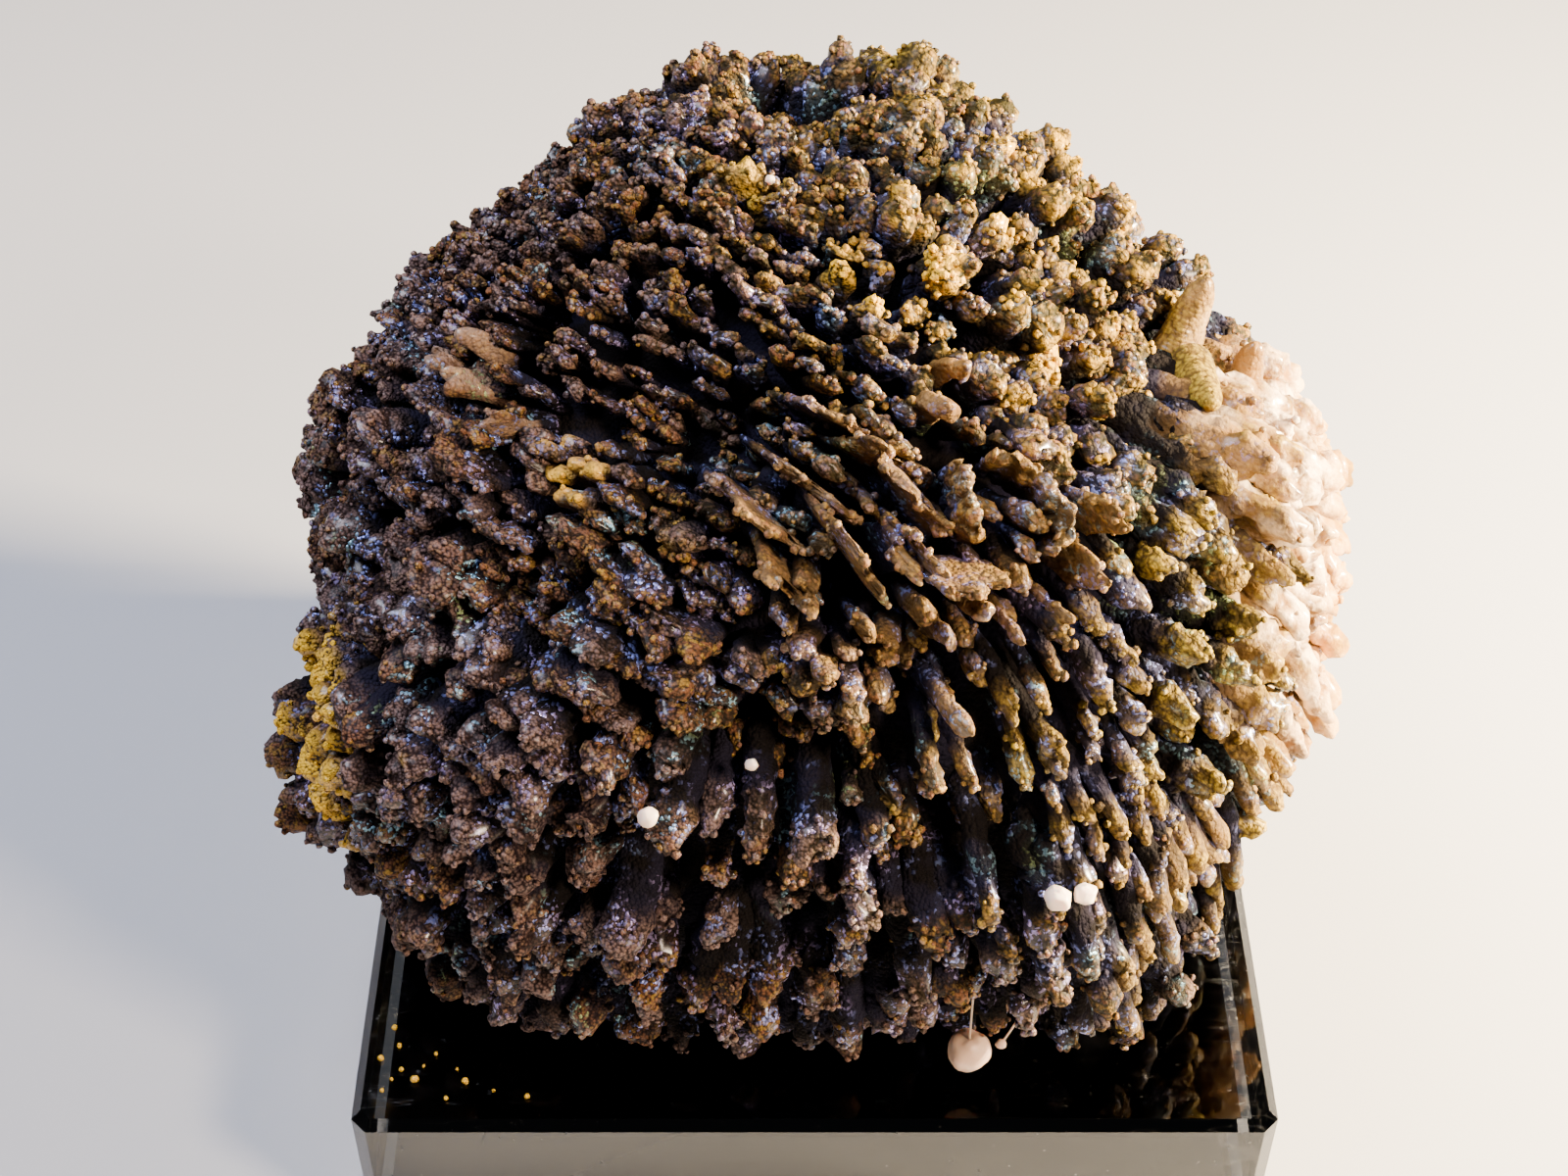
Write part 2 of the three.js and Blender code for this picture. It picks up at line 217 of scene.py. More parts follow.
def clump_of(d):
    """Each direction's clump, and how near it is to the clump's border: 0 at it, 1 at the middle."""
    near = d @ CLUMP_AT.T
    order = np.argsort(-near, axis=1)[:, :2]
    far = np.arccos(np.clip(np.take_along_axis(near, order, axis=1), -1, 1))
    return order[:, 0], (far[:, 1] - far[:, 0]) / (far[:, 1] + far[:, 0])


print(CLUMPS, "clumps, raised by", CLUMP_RISE.min().round(2), "to", CLUMP_RISE.max().round(2), "mm")

# %% [markdown]
# ## Growth styles
# The crust isn't the same all over. The upper right is like cauliflower, the upper left has fine slanting
# rods, the left has ridges, the middle has broken plates, the right has slim and then large smooth
# fingers, and the foot has long hanging ones. Each style is a row of sizes, with a place on the face
# and a spread. A finger takes the mean of the styles near it, so one fades into the next.

# %% Styles of growth over the face
STYLE_SIZES = ["spacing", "fill", "length", "cap", "taper", "knob", "beads", "flat", "uneven", "heading",
               "rows", "lean", "groove"]
STYLE_TINTS = ["ochre", "green", "violet", "bare"]
# Each style: its place across and up on the face, its spread and its weight, then its sizes, then
# its tints, in the orders above
STYLES = {
    "coral": [[0, 0, 1e3, 0.05],
        [2.5, 0.46, 8, 1.0, 0, 0.5, 4, 1.3, 2.2, -33, 0.4, 0.4, 2.6], [0.12, 0.1, 0.4, 0]],
    "cauliflower": [[19, 26, 15, 1],
        [2.3, 0.48, 7, 0.9, -0.1, 0.45, 6, 1, 1.5, -33, 0, 0.2, 3.8], [0.4, 0.35, 0.25, 0]],
    "crown": [[9, 41, 9, 1],
        [2.3, 0.52, 7, 0.9, -0.1, 0.42, 6, 1, 0.8, -33, 0, 0, 3.2], [0.25, 0.5, 0.1, 0.05]],
    "fine_rods": [[-16, 32, 18, 1],
        [1.4, 0.44, 5.5, 1.1, 0, 0.32, 2.5, 2.4, 1.2, -28, 0.85, 0, 1.2], [0.1, 0.05, 0.6, 0]],
    "fine_middle": [[-6, 16, 12, 1],
        [1.6, 0.42, 6, 1.0, 0, 0.32, 2.5, 2.8, 1.8, -25, 0.85, 0.2, 1.6], [0.15, 0.15, 0.6, 0.05]],
    "left_knobs": [[-40, 8, 10, 1],
        [2.2, 0.47, 7, 0.9, 0, 0.42, 5, 2.0, 1.5, -33, 0.4, 0.2, 2.2], [0.12, 0.05, 0.5, 0]],
    "ridges": [[-23, 5, 13, 1],
        [1.85, 0.44, 7, 0.8, 0, 0.32, 2.4, 3.8, 2.2, -30, 0.95, 0.3, 2.2], [0.15, 0.1, 0.6, 0.05]],
    "plates": [[6, 3, 9, 1],
        [1.75, 0.42, 8, 0.8, 0, 0.3, 2.0, 1.9, 1.4, -42, 0.6, 0.5, 1.2], [0.1, 0.1, 0.5, 0.36]],
    "slim_rods": [[19, -14, 12, 1],
        [2.4, 0.31, 5, 1.5, 0.2, 0.30, 2, 1.2, 2.2, -75, 0.2, 1.4, 1.4], [0.15, 0.5, 0.5, 0.32]],
    "right_bank": [[30, -5, 9, 1],
        [3.4, 0.38, 7, 1.5, 0.2, 0.60, 4, 1.4, 2.2, -75, 0, 1.3, 1.6], [0.12, 0.6, 0.5, 0.22]],
    "smooth_lumps": [[41, 3, 12, 2],
        [2.7, 0.50, 8, 1.4, 0.3, 0.50, 0, 1.5, 1.8, -82, 0, 1.4, 0.6], [0.1, 0.4, 0.15, 0.8]],
    "hanging": [[0, -30, 17, 1],
        [3.1, 0.35, 6.5, 1.3, 0.0, 0.52, 9, 1.3, 2.8, -75, 0.1, 0.9, 3.2], [0.1, 0.1, 0.5, 0.02]],
    "right_foot": [[32, -27, 9, 2.5],
        [2.3, 0.36, 8, 1.6, 0.15, 0.26, 0, 1.3, 1.6, -72, 0.2, 1.7, 1.8], [0.1, 0.5, 0.3, 0.42]],
    "powder": [[-40.5, -11, 5, 3],
        [2.6, 0.55, 8, 1, 0, 0.5, 4, 1, 0.8, 0, 0, 0, 1.5], [1.1, 0.1, 0.1, 0]],
    "yellow_dust": [[4.6, 22, 3.2, 2],
        [2.2, 0.5, 7, 0.9, -0.1, 0.5, 7, 1, 1.2, 0, 0, 0, 2], [1, 0.1, 0.1, 0]],
    "orange_knobs": [[-18.5, 8.1, 2.6, 3],
        [1.9, 0.5, 7, 1, 0, 0.3, 0, 1, 0.6, 0, 0, 0, 1], [1, 0, 0.1, 0.6]],
}
STYLE_TABLE = np.array([sum(parts, []) for parts in STYLES.values()], float)
STYLE_AT = towards(STYLE_TABLE[:, 0], STYLE_TABLE[:, 1])


def style_of(d):
    """The sizes and tints at each direction: the styles' mean, weighted by a flat-topped bell."""
    off = np.linalg.norm(d[:, None] - STYLE_AT[None], axis=-1) * FACE_REACH / STYLE_TABLE[:, 2]
    weight = np.exp(-off ** 3) * STYLE_TABLE[:, 3]
    values = (weight @ STYLE_TABLE[:, 4:]) / weight.sum(axis=1, keepdims=True)
    return dict(zip(STYLE_SIZES + STYLE_TINTS, values.T))


# %% [markdown]
# ## Pieces at measured places
# Some parts of the crust are told apart in the photograph: broken plates on edge, flat slabs, wedges,
# greenish cones and the fringe that hangs over the block. Their places were measured on the face. The
# common fingers keep clear of them.

# %% Tables of the measured pieces
# Each row: across, up, rise over the envelope, heading, width, thickness, length
PLATES = [
    [-0.1, 5.6, 1.9, -38, 11, 0.85, 7], [-2.8, 2.9, 1.7, -42, 10, 0.8, 7], [2.9, 1.2, 1.9, -50, 11, 0.8, 7],
    [6.2, 4.4, 2.0, -45, 10, 0.85, 7], [11, -0.9, 1.6, -5, 8, 1.1, 7], [4.8, 7.6, 1.4, -35, 8, 0.7, 6],
    [1.3, 10.6, 1.2, -30, 8, 0.8, 6], [6.0, 0.2, 2.2, -60, 4, 0.8, 7], [-2.2, -1.2, 1.6, -45, 8, 1.1, 7],
    [20.2, 4.4, 1.5, -60, 5, 0.9, 7], [-5.4, 5.6, 1.3, -36, 6, 0.8, 6], [7.4, 1.6, 1.7, -55, 6, 0.7, 7],
    [19.6, 0.6, 1.5, -60, 6, 1.0, 7],
]
# The broken shell at the right of the plates: two walls, each a curve through places across and up
SHELL_WALLS = [[[9.0, 7.4], [9.5, 5.6], [10.4, 3.9], [11.6, 2.4]],
               [[11.2, 7.7], [13.2, 7.6], [15.2, 6.6], [16.9, 4.9], [17.7, 3.0], [16.6, 1.6]]]
SLABS = [
    [-27.6, 15.9, 1.3, -42, 3.0, 1.3, 7], [-26.0, 14.0, 1.1, -48, 3.0, 1.3, 7],
    [-24.6, 17.3, 1.1, 30, 2.0, 1.5, 6], [8.5, 10.4, 1.2, -20, 2.8, 1.5, 6],
    [10.3, 13.5, 1.1, -50, 2.0, 1.3, 6], [-22.6, 11.2, 1.0, 15, 2.6, 0.9, 6],
]
YELLOW_SLABS = [[-5.4, 28.8, 1.3, -8, 9, 1.5, 6], [-2.6, 27.6, 1.0, -20, 4, 1.7, 6]]
WEDGES = [
    [9.8, -4.8, 1.8, -60, 2.6, 1.5, 8], [11.4, -11.6, 1.6, -70, 2.4, 1.7, 8],
    [12.3, -2.6, 1.6, 60, 1.6, 1.2, 7], [14.2, -4.4, 1.3, -75, 1.6, 1.1, 7],
    [17.7, -2.9, 1.3, -70, 2.0, 1.3, 7],
]
GREEN_CONES = [
    [32.8, -3.8, 1.4, -70, 3.4, 2.9, 9], [32.4, -7.5, 1.1, -70, 2.6, 2.4, 8],
    [27.8, -5.2, 1.5, -70, 3.2, 2.6, 9], [27.1, -10.7, 1.3, -70, 3.6, 2.8, 9],
    [35.1, -20.4, 0.6, -75, 2.8, 2.4, 8], [30.7, -15.8, 1.1, -60, 3.8, 2.8, 9],
    [25.4, 0.5, 1.2, -75, 2.4, 2.0, 8], [36.6, -8.4, 0.6, -75, 3.2, 2.8, 8],
    [37.2, -0.1, 0.6, -80, 3.4, 3.0, 8],
]
FRINGE = [
    [-22.5, -36.1, 0.8, 0, 3.4, 3.0, 10], [-17.6, -34.9, 0.8, 0, 3.0, 2.6, 10],
    [-13.9, -36.4, 0.8, 0, 3.4, 3.0, 10], [-10.5, -37.4, 0.8, 0, 3.2, 2.8, 10],
    [-3.6, -34.4, 0.8, 0, 3.0, 2.6, 10], [3.1, -37.1, 0.8, 0, 3.4, 3.0, 10],
    [8.6, -34.2, 0.8, 0, 3.0, 2.6, 10], [16.5, -34.4, 0.8, 0, 2.8, 2.4, 10],
    [20.7, -37.6, 0.8, 0, 3.2, 2.8, 10], [25.8, -37.1, 0.8, 0, 3.4, 3.0, 10],
    [29.9, -33.6, 0.8, 0, 3.0, 2.6, 10], [31.8, -29.7, 0.8, 0, 3.0, 2.6, 10],
]
# Oblongs round the walls and the horns, to keep the common fingers off them
WALL_PLACES = [[across, up, 0, 0, 2, 2, 0] for wall in SHELL_WALLS for across, up in wall]
HORN_PLACES = [[30.0, 19.4, 0, 70, 9.5, 4.6, 0], [31.2, 16.4, 0, -72, 3, 1.8, 0]]
MEASURED = np.array(PLATES + SLABS + YELLOW_SLABS + WEDGES + GREEN_CONES + FRINGE + WALL_PLACES
                    + HORN_PLACES)
CLEAR_OF = 0.45


def clear_of_measured(d):
    """Whether each direction is outside all the measured pieces, seen as oblongs on the face."""
    place = np.stack([d @ RIGHT, d @ UP], axis=-1) * tip_reach(d)[:, None]
    free = np.ones(len(d), bool)
    for across, up, _, heading, width, thickness, _ in MEASURED:
        turn = np.radians(heading)
        off = place - [across, up]
        along = np.abs(off @ [np.cos(turn), np.sin(turn)])
        aside = np.abs(off @ [-np.sin(turn), np.cos(turn)])
        free &= (along > width / 2 + 0.2) | (aside > thickness / 2 + CLEAR_OF) | (d @ OUT < 0)
    return free


print(len(MEASURED), "measured pieces")

# %% Choose where fingers stand
CANDIDATES = 22000
GAP_BETWEEN = 0.84
ROW_SPACING = 2.2
BORDER_FREE = 0.05


def into_rows(d):
    """Moves each direction towards the nearest slanting row, by the style's share for rows. The rows are
    the crests of a wave across the heading, with a slow wobble."""
    across = face_direction(-np.sin(RIDGE_HEADING), np.cos(RIDGE_HEADING), 0)
    along = face_direction(np.cos(RIDGE_HEADING), np.sin(RIDGE_HEADING), 0)
    x, y = (d @ across) * FACE_REACH, (d @ along) * FACE_REACH
    phase = 2 * np.pi * x / ROW_SPACING + 1.8 * np.sin(y / 3.4 + 0.13 * x) + np.sin(y / 1.9 - 0.2 * x)
    move = -style_of(d)["rows"] * ROW_SPACING / (2 * np.pi) * np.sin(phase)
    return unit(d + (move / FACE_REACH)[:, None] * across)


def choose_fingers():
    """Goes through many spread directions in a shuffled order, and keeps each one that is at least one
    local spacing from all that are kept."""
    rng = np.random.default_rng(7)
    d = golden_directions(CANDIDATES, 0, 0.4)[rng.permutation(CANDIDATES)]
    spacing = style_of(d)["spacing"] * GAP_BETWEEN
    kept = np.full((CANDIDATES, 3), 9.0)
    picks = []
    for i in range(CANDIDATES):
        near = ((kept[:len(picks) + 1] - d[i]) ** 2).sum(axis=1).min()
        if np.sqrt(near) * FACE_REACH > spacing[i]:
            kept[len(picks)] = d[i]
            picks.append(i)
    chosen = into_rows(d[picks])
    return chosen[(clump_of(chosen)[1] > BORDER_FREE) & clear_of_measured(chosen)]


FINGER_AT = choose_fingers()
print(len(FINGER_AT), "fingers chosen")

# %% [markdown]
# ## Knobs
# The knobs on the fingers are rounded, with sharp creases between them, like soap bubbles pressed
# together. Distance to the nearest of many scattered points has just that shape. A grid of cells with
# one point in each makes the nearest point quick to find: it is always in the same cell or beside it.

# %% Distance to scattered points
def scattered(cell, salt):
    """One point in each grid cell: whole-number hashing of the cell's place gives its three parts."""
    h = (cell[..., 0] * 73856093) ^ (cell[..., 1] * 19349663) ^ (cell[..., 2] * 83492791) ^ (salt * 9781)
    h = (h & 0x7FFFFFFF).astype(np.int64)
    h = (h * 1103515245 + 12345) & 0x7FFFFFFF
    h2 = (h * 1103515245 + 12345) & 0x7FFFFFFF
    h3 = (h2 * 1103515245 + 12345) & 0x7FFFFFFF
    return np.stack([h >> 8, h2 >> 8, h3 >> 8], axis=-1) / float(0x7FFFFF)


def bubbles(p, size, salt):
    """Bubble heights at points p: 1 over a scattered point, falling with the distance squared to 0."""
    q = (p / size).reshape(-1, 3).astype(np.float32)
    base = np.floor(q).astype(np.int64)
    nearest = np.full(len(q), 9.0, np.float32)
    for step in np.ndindex(3, 3, 3):
        cell = base + (np.array(step) - 1)
        off = cell + 0.1 + 0.8 * scattered(cell, salt) - q
        nearest = np.minimum(nearest, (off ** 2).sum(axis=1).astype(np.float32))
    return (1 - np.clip(nearest / 0.62, 0, 1)).reshape(p.shape[:-1])


print("bubble heights near one point:", bubbles(np.array([[1.0, 2, 3], [1.3, 2, 3]]), 1.0, 1).round(2))

# %% [markdown]
# ## Fingers
# A finger is a profile carried along a path. The path starts deep below the grooves and ends at the tip.
# It leans out from the middle of its clump, hangs where the style leans, and bends a little. The profile
# is a blunt rod. Then bubbles of three sizes push the skin out along its normals, and a fourth size
# makes the ends ragged. All the fingers of a piece are made at once, as one array with a row for each
# finger, ring and side, so no two are alike.

# %% Where each finger starts and ends
LEAN_SHARE = 0.75
PLUMB = np.array([0, 0, -1.0])
HOLLOWS_DEEPER = 1.3


def grown(d, reach):
    """A point over a direction. Above the grooves it droops, across the direction only."""
    over = np.maximum(0, reach - tip_reach(d) + groove_depth(d))[..., None]
    droop = DROOP - (d @ DROOP)[..., None] * d
    return d * reach[..., None] + droop * over + HEART


def bend_by(i, salt):
    """A chance vector for each finger number, for the bow of its path."""
    return np.stack([chance(i, salt + k) for k in range(3)], axis=-1)


def heading_direction(degrees):
    """The direction on the face at an angle from across, turning towards up."""
    turn = np.radians(degrees)
    return face_direction(np.cos(turn), np.sin(turn), 0)


def finger_facts(d, salt):
    """Everything that a finger needs, worked out from its direction: its style with a little chance, its
    tip, its root nearer the middle of its clump, and its bend."""
    f = style_of(d)
    clump, inner = clump_of(d)
    i = np.arange(len(d)) + salt
    for number, key in enumerate(("fill", "knob", "flat", "length", "lean", "cap")):
        f[key] = f[key] * (1 + 0.22 * chance(i, 20 + number))
    f["radius"] = f["spacing"] * f["fill"]
    reach = tip_reach(d, HOLLOWS_DEEPER) + CLUMP_RISE[clump] - f["groove"] * (1 - inner) ** 2
    reach = reach + 0.25 * f["groove"] + 0.4 * f["uneven"] * chance(i, 11)
    f["tip"] = grown(d, reach)
    inwards = unit(d + 0.5 * (CLUMP_AT[clump] - d))
    hang = unit(PLUMB - (d @ PLUMB)[:, None] * d)
    f["root"] = inwards * (reach - f["length"])[:, None] + HEART
    f["root"] = f["root"] - hang * (LEAN_SHARE * f["lean"] * f["length"])[:, None]
    # Painted shade at the clump's border, added later to the depth of its fingers
    f["shade"] = 1.5 * (1 - inner) ** 2
    f["along"] = heading_direction(f["heading"] + 16 * chance(i, 13))
    f["bend"] = bend_by(i, 14) * (0.3 + 0.4 * f["radius"])[:, None]
    f["tone"] = chance(i, 17)
    f["square"] = 0.95 + 0.15 * chance(i, 18)
    f["ragged"] = 0.7 * f["uneven"]
    return f


def placed_facts(rows, same):
    """The same facts for chosen places. Each row: across, up, rise over the envelope, heading, width,
    thickness and length. Each piece leans a little downwards."""
    rows = np.array(rows, float)
    d = towards(rows[:, 0], rows[:, 1])
    f = {key: np.full(len(rows), float(value)) for key, value in same.items()}
    f["tip"] = d * (tip_reach(d) + rows[:, 2])[:, None] + HEART
    f["root"] = f["tip"] - unit(d + DROOP) * rows[:, 6:7]
    f["radius"] = np.sqrt(rows[:, 4] * rows[:, 5]) / 2
    f["flat"] = rows[:, 4] / rows[:, 5]
    i = np.arange(len(rows))
    f["along"] = heading_direction(rows[:, 3] + 7 * chance(i, 33))
    f["bend"] = bend_by(i, 34) * 0.9
    f["tone"] = chance(i, 37)
    f["shade"] = np.zeros(len(rows))
    return f


sample = finger_facts(FINGER_AT[:1], 0)
print("the first finger: radius", sample["radius"].round(2), "mm, length", sample["length"].round(1), "mm")

# %% Carry profiles along the fingers' paths
LOBE_SIZE = 3.6
KNOB_SIZE = 1.9
GRAIN_SIZE = 0.95
RAGGED_SIZE = 2.4
CAP_RINGS = 5


def turns(sides):
    """Angles round a section, all round."""
    return np.arange(sides) / sides * 2 * np.pi


def power_of(x, power):
    """A power of a number's size that keeps its sign. On a cosine and a sine it squares a circle."""
    return np.sign(x) * np.abs(x) ** power


def circles(wide, thin, sides):
    """A circle of radius 1 from each pair of directions across a path."""
    turn = turns(sides)[:, None]
    return wide[..., None, :] * np.cos(turn) + thin[..., None, :] * np.sin(turn)


def finger_rings(f, rings, sides):
    """Rings of points (finger, ring, side). The radius is a taper times a round cap: the cap's rings go
    by an angle, their places by its sine and their radii by its cosine. A ring is a circle stretched by
    the flatness, and squarer the smaller the power of its cosine and sine."""
    column = {k: v[:, None] for k, v in f.items() if v.ndim == 1}
    way = f["tip"] - f["root"]
    share = column["radius"] * column["cap"] / np.linalg.norm(way, axis=1)[:, None]
    along_body = np.arange(rings - CAP_RINGS) / (rings - CAP_RINGS)
    cap_angle = np.linspace(0, 0.92, CAP_RINGS) * np.pi / 2
    body = (1 - share) * (1 - (1 - along_body) ** 1.3)
    t = np.concatenate([body, 1 - share * (1 - np.sin(cap_angle))], axis=1)
    profile = np.concatenate([np.ones(rings - CAP_RINGS), np.cos(cap_angle)])
    path = f["root"][:, None] + way[:, None] * t[..., None]
    path = path + f["bend"][:, None] * np.sin(np.pi * t)[..., None]
    radius = column["radius"] * (1 - column["taper"] * t) * profile
    tangent = unit(np.gradient(path, axis=1))
    along = f["along"][:, None]
    wide = unit(along - (along * tangent).sum(-1, keepdims=True) * tangent)
    thin = np.cross(tangent, wide)
    turn = turns(sides)[:, None]
    power = f["square"][:, None, None, None]
    x, y = power_of(np.cos(turn), power), power_of(np.sin(turn), power)
    stretch = np.sqrt(column["flat"])[..., None, None]
    ring = wide[:, :, None] * x * stretch + thin[:, :, None] * y / stretch
    return path[:, :, None] + ring * radius[..., None, None], t


def skin_normals(rings):
    """Outward normals: the cross product of the steps round a ring and along the path."""
    around = np.roll(rings, -1, axis=2) - np.roll(rings, 1, axis=2)
    return unit(np.cross(around, np.gradient(rings, axis=1)) + 1e-12)


def push_out(rings, f, t):
    """Moves each point along its normal by its three bubble heights, less near the root, and the tip
    along the finger by larger bubbles, so that its end is ragged."""
    knob = bubbles(rings, KNOB_SIZE, 3)
    grain = bubbles(rings, GRAIN_SIZE, 5)
    room = np.minimum(1, t * 2.5)[..., None]
    push = f["knob"][:, None, None] * (0.95 * (knob - 0.45) + 1.3 * (grain - 0.45))
    lobe = np.maximum(0, f["radius"] / np.sqrt(f["flat"]) - 0.7)[:, None, None]
    push = push + lobe * (bubbles(rings, LOBE_SIZE, 7) - 0.5)
    ahead = unit(f["tip"] - f["root"])[:, None, None]
    slip = f["ragged"][:, None, None] * (bubbles(rings, RAGGED_SIZE, 6) - 0.5) * (t ** 3)[..., None]
    skin = rings + skin_normals(rings) * (push * room)[..., None] + ahead * slip[..., None]
    return skin, 0.4 * knob + 0.6 * grain


sample_rings, along_path = finger_rings(sample, 11, 8)
sample_skin = push_out(sample_rings, sample, along_path)[0]
print("its skin has", sample_skin.shape[1], "rings of", sample_skin.shape[2], "points")

# %% [markdown]
# ## From arrays to a mesh
# Blender takes the points, the corners of the faces and the face sizes as flat lists, so one call each
# fills a mesh of tens of thousands of faces. Values that the material reads, such as a point's depth below
# the tips, go in as attributes on the points.

# %% Make a mesh from arrays
MADE = {}
END_BULGE = 0.35


def piece_from(name, points, faces, values, material, slot, *replaced):
    """A piece with smooth faces, its point values, its material, and the solids that it stands for."""
    mesh = bpy.data.meshes.new(name)
    mesh.vertices.add(len(points))
    mesh.vertices.foreach_set("co", (points * MM).astype(np.float32).ravel())
    corners = np.concatenate([f.ravel() for f in faces])
    sizes = np.concatenate([np.full(len(f), f.shape[1]) for f in faces])
    mesh.loops.add(len(corners))
    mesh.loops.foreach_set("vertex_index", corners.astype(np.int32))
    mesh.polygons.add(len(sizes))
    mesh.polygons.foreach_set("loop_start", (np.cumsum(sizes) - sizes).astype(np.int32))
    mesh.polygons.foreach_set("loop_total", sizes.astype(np.int32))
    mesh.polygons.foreach_set("use_smooth", np.ones(len(sizes), bool))
    for key, value in values.items():
        layer = mesh.attributes.new(key, "FLOAT", "POINT")
        layer.data.foreach_set("value", np.asarray(value, np.float32).ravel())
    mesh.update(calc_edges=True)
    mesh.validate()
    mesh.materials.append(material)
    piece = place_in_scene(name, mesh)
    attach(piece, "root")
    if replaced:
        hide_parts(*replaced)
    MADE[name] = int((sizes - 2).sum())
    print(name, "has", MADE[name], "triangles")
    return piece


def closed_tubes(rings):
    """Points and faces of closed tubes from rings (tube, ring, side): a quad between neighbours, and a
    fan to one more point at each end, a little past the middle of the end ring."""
    count, length, sides, _ = rings.shape
    middle = rings.mean(axis=2, keepdims=True)
    first = middle[:, 0] + END_BULGE * (middle[:, 0] - middle[:, 1])
    last = middle[:, -1] + END_BULGE * (middle[:, -1] - middle[:, -2])
    points = np.concatenate([rings.reshape(count, -1, 3), first, last], axis=1)
    start = (np.arange(count) * (length * sides + 2))[:, None, None]
    ring = start + (np.arange(length) * sides)[None, :, None] + np.arange(sides)[None, None]
    after = np.roll(ring, -1, axis=2)
    quads = np.stack([ring[:, :-1], after[:, :-1], after[:, 1:], ring[:, 1:]], axis=-1).reshape(-1, 4)
    low = np.broadcast_to(start[:, 0] + length * sides, (count, sides))
    root_fan = np.stack([low, after[:, 0], ring[:, 0]], axis=-1).reshape(-1, 3)
    tip_fan = np.stack([ring[:, -1], after[:, -1], low + 1], axis=-1).reshape(-1, 3)
    return points.reshape(-1, 3), [quads, root_fan, tip_fan]


def spread_over(values, rings):
    """A value for every point of closed tubes: its rings' values, then the end rings' means."""
    values = np.broadcast_to(values, rings.shape[:3])
    ends = [values[:, 0].mean(axis=1, keepdims=True), values[:, -1].mean(axis=1, keepdims=True)]
    return np.concatenate([values.reshape(len(values), -1)] + ends, axis=1)


print("as a closed tube it has", len(closed_tubes(sample_skin)[0]), "points")

# %% [markdown]
# ## The crust's finish
# One node group mixes the crust's colours from the point values. Deep down it is painted nearly black, as
# painted shade. Towards the tips it turns matte brown, with painted shade between the grains, so that their
# tops read lighter. Ochre dust lies on knob tops, the bare places are smooth and tan or cream, and the oxide
# film shows violet, blue or green in small wet-looking spots on the sides. The film's colours are painted as
# metal colours, because real thin-film colours change too fast to control here. Grains too small for the
# mesh come from a cell pattern as a bump.

# %% Helpers for node trees
def add_node(tree, kind, **settings):
    """A new node with some of its settings."""
    node = tree.nodes.new(kind)
    for key, value in settings.items():
        setattr(node, key, value)
    return node


def feed(tree, socket, source):
    """Links a socket if the source is a socket, and otherwise sets its value."""
    if isinstance(source, bpy.types.NodeSocket):
        tree.links.new(source, socket)
    else:
        socket.default_value = source


def blend(tree, share, low, high):
    """A colour between two, by a share from 0 to 1."""
    node = add_node(tree, "ShaderNodeMix", data_type="RGBA")
    for socket, source in zip((node.inputs[0], node.inputs[6], node.inputs[7]), (share, low, high)):
        feed(tree, socket, source)
    return node.outputs[2]


def sums(tree, operation, a, b=0.0, c=0.0, clamp=False):
    """One step of arithmetic on values or sockets."""
    node = add_node(tree, "ShaderNodeMath", operation=operation, use_clamp=clamp)
    for socket, source in zip(node.inputs, (a, b, c)):
        feed(tree, socket, source)
    return node.outputs[0]


def times(tree, a, b, clamp=False):
    return sums(tree, "MULTIPLY", a, b, clamp=clamp)


def plus(tree, a, b):
    return sums(tree, "ADD", a, b)


def scaled(tree, a, share, more, clamp=False):
    """A value times a share, plus one more."""
    return sums(tree, "MULTIPLY_ADD", a, share, more, clamp)


def one_minus(tree, a, clamp=False):
    return sums(tree, "SUBTRACT", 1.0, a, clamp=clamp)


def ramp(tree, value, low, high):
    """A smooth step of a value: 0 at low, 1 at high."""
    node = add_node(tree, "ShaderNodeMapRange", interpolation_type="SMOOTHSTEP")
    for socket, source in zip(node.inputs, (value, low, high, 0.0, 1.0)):
        feed(tree, socket, source)
    return node.outputs[0]


def noise(tree, place, scale, detail=2.0):
    """A smooth chance value from 0 to 1 at a place."""
    node = add_node(tree, "ShaderNodeTexNoise")
    for key, source in (("Vector", place), ("Scale", scale), ("Detail", detail)):
        feed(tree, node.inputs[key], source)
    return node.outputs["Fac"]


def apart(tree, vector):
    """The three numbers of a vector or a colour."""
    node = add_node(tree, "ShaderNodeSeparateXYZ")
    tree.links.new(vector, node.inputs[0])
    return node.outputs


def grains(tree, place, scale):
    """Round grains: 1 at the middle of each cell, falling with the distance squared, and three chances
    for each grain."""
    node = add_node(tree, "ShaderNodeTexVoronoi")
    feed(tree, node.inputs["Vector"], place)
    feed(tree, node.inputs["Scale"], scale)
    far = node.outputs["Distance"]
    height = one_minus(tree, times(tree, far, far), clamp=True)
    return height, apart(tree, node.outputs["Color"])


def colour(r, g, b):
    """Red, green and blue as a socket takes them, with full cover."""
    return (r, g, b, 1.0)


def new_group(name, inputs, outputs):
    """An empty node group with named inputs and outputs."""
    tree = bpy.data.node_groups.new(name, "ShaderNodeTree")
    for key, kind in inputs.items():
        tree.interface.new_socket(key, in_out="INPUT", socket_type=kind)
    for key, kind in outputs.items():
        tree.interface.new_socket(key, in_out="OUTPUT", socket_type=kind)
    return tree, add_node(tree, "NodeGroupInput"), add_node(tree, "NodeGroupOutput")


# %% The crust's colours and its painted shade
NUMBER, COLOUR, PLACE = "NodeSocketFloat", "NodeSocketColor", "NodeSocketVector"
CRUST_VALUES = ["depth", "knob", "tone", "ochre", "green", "violet", "bare", "earth"]
GRAINS_PER_METRE = 2100
SPECKS_PER_METRE = 3700
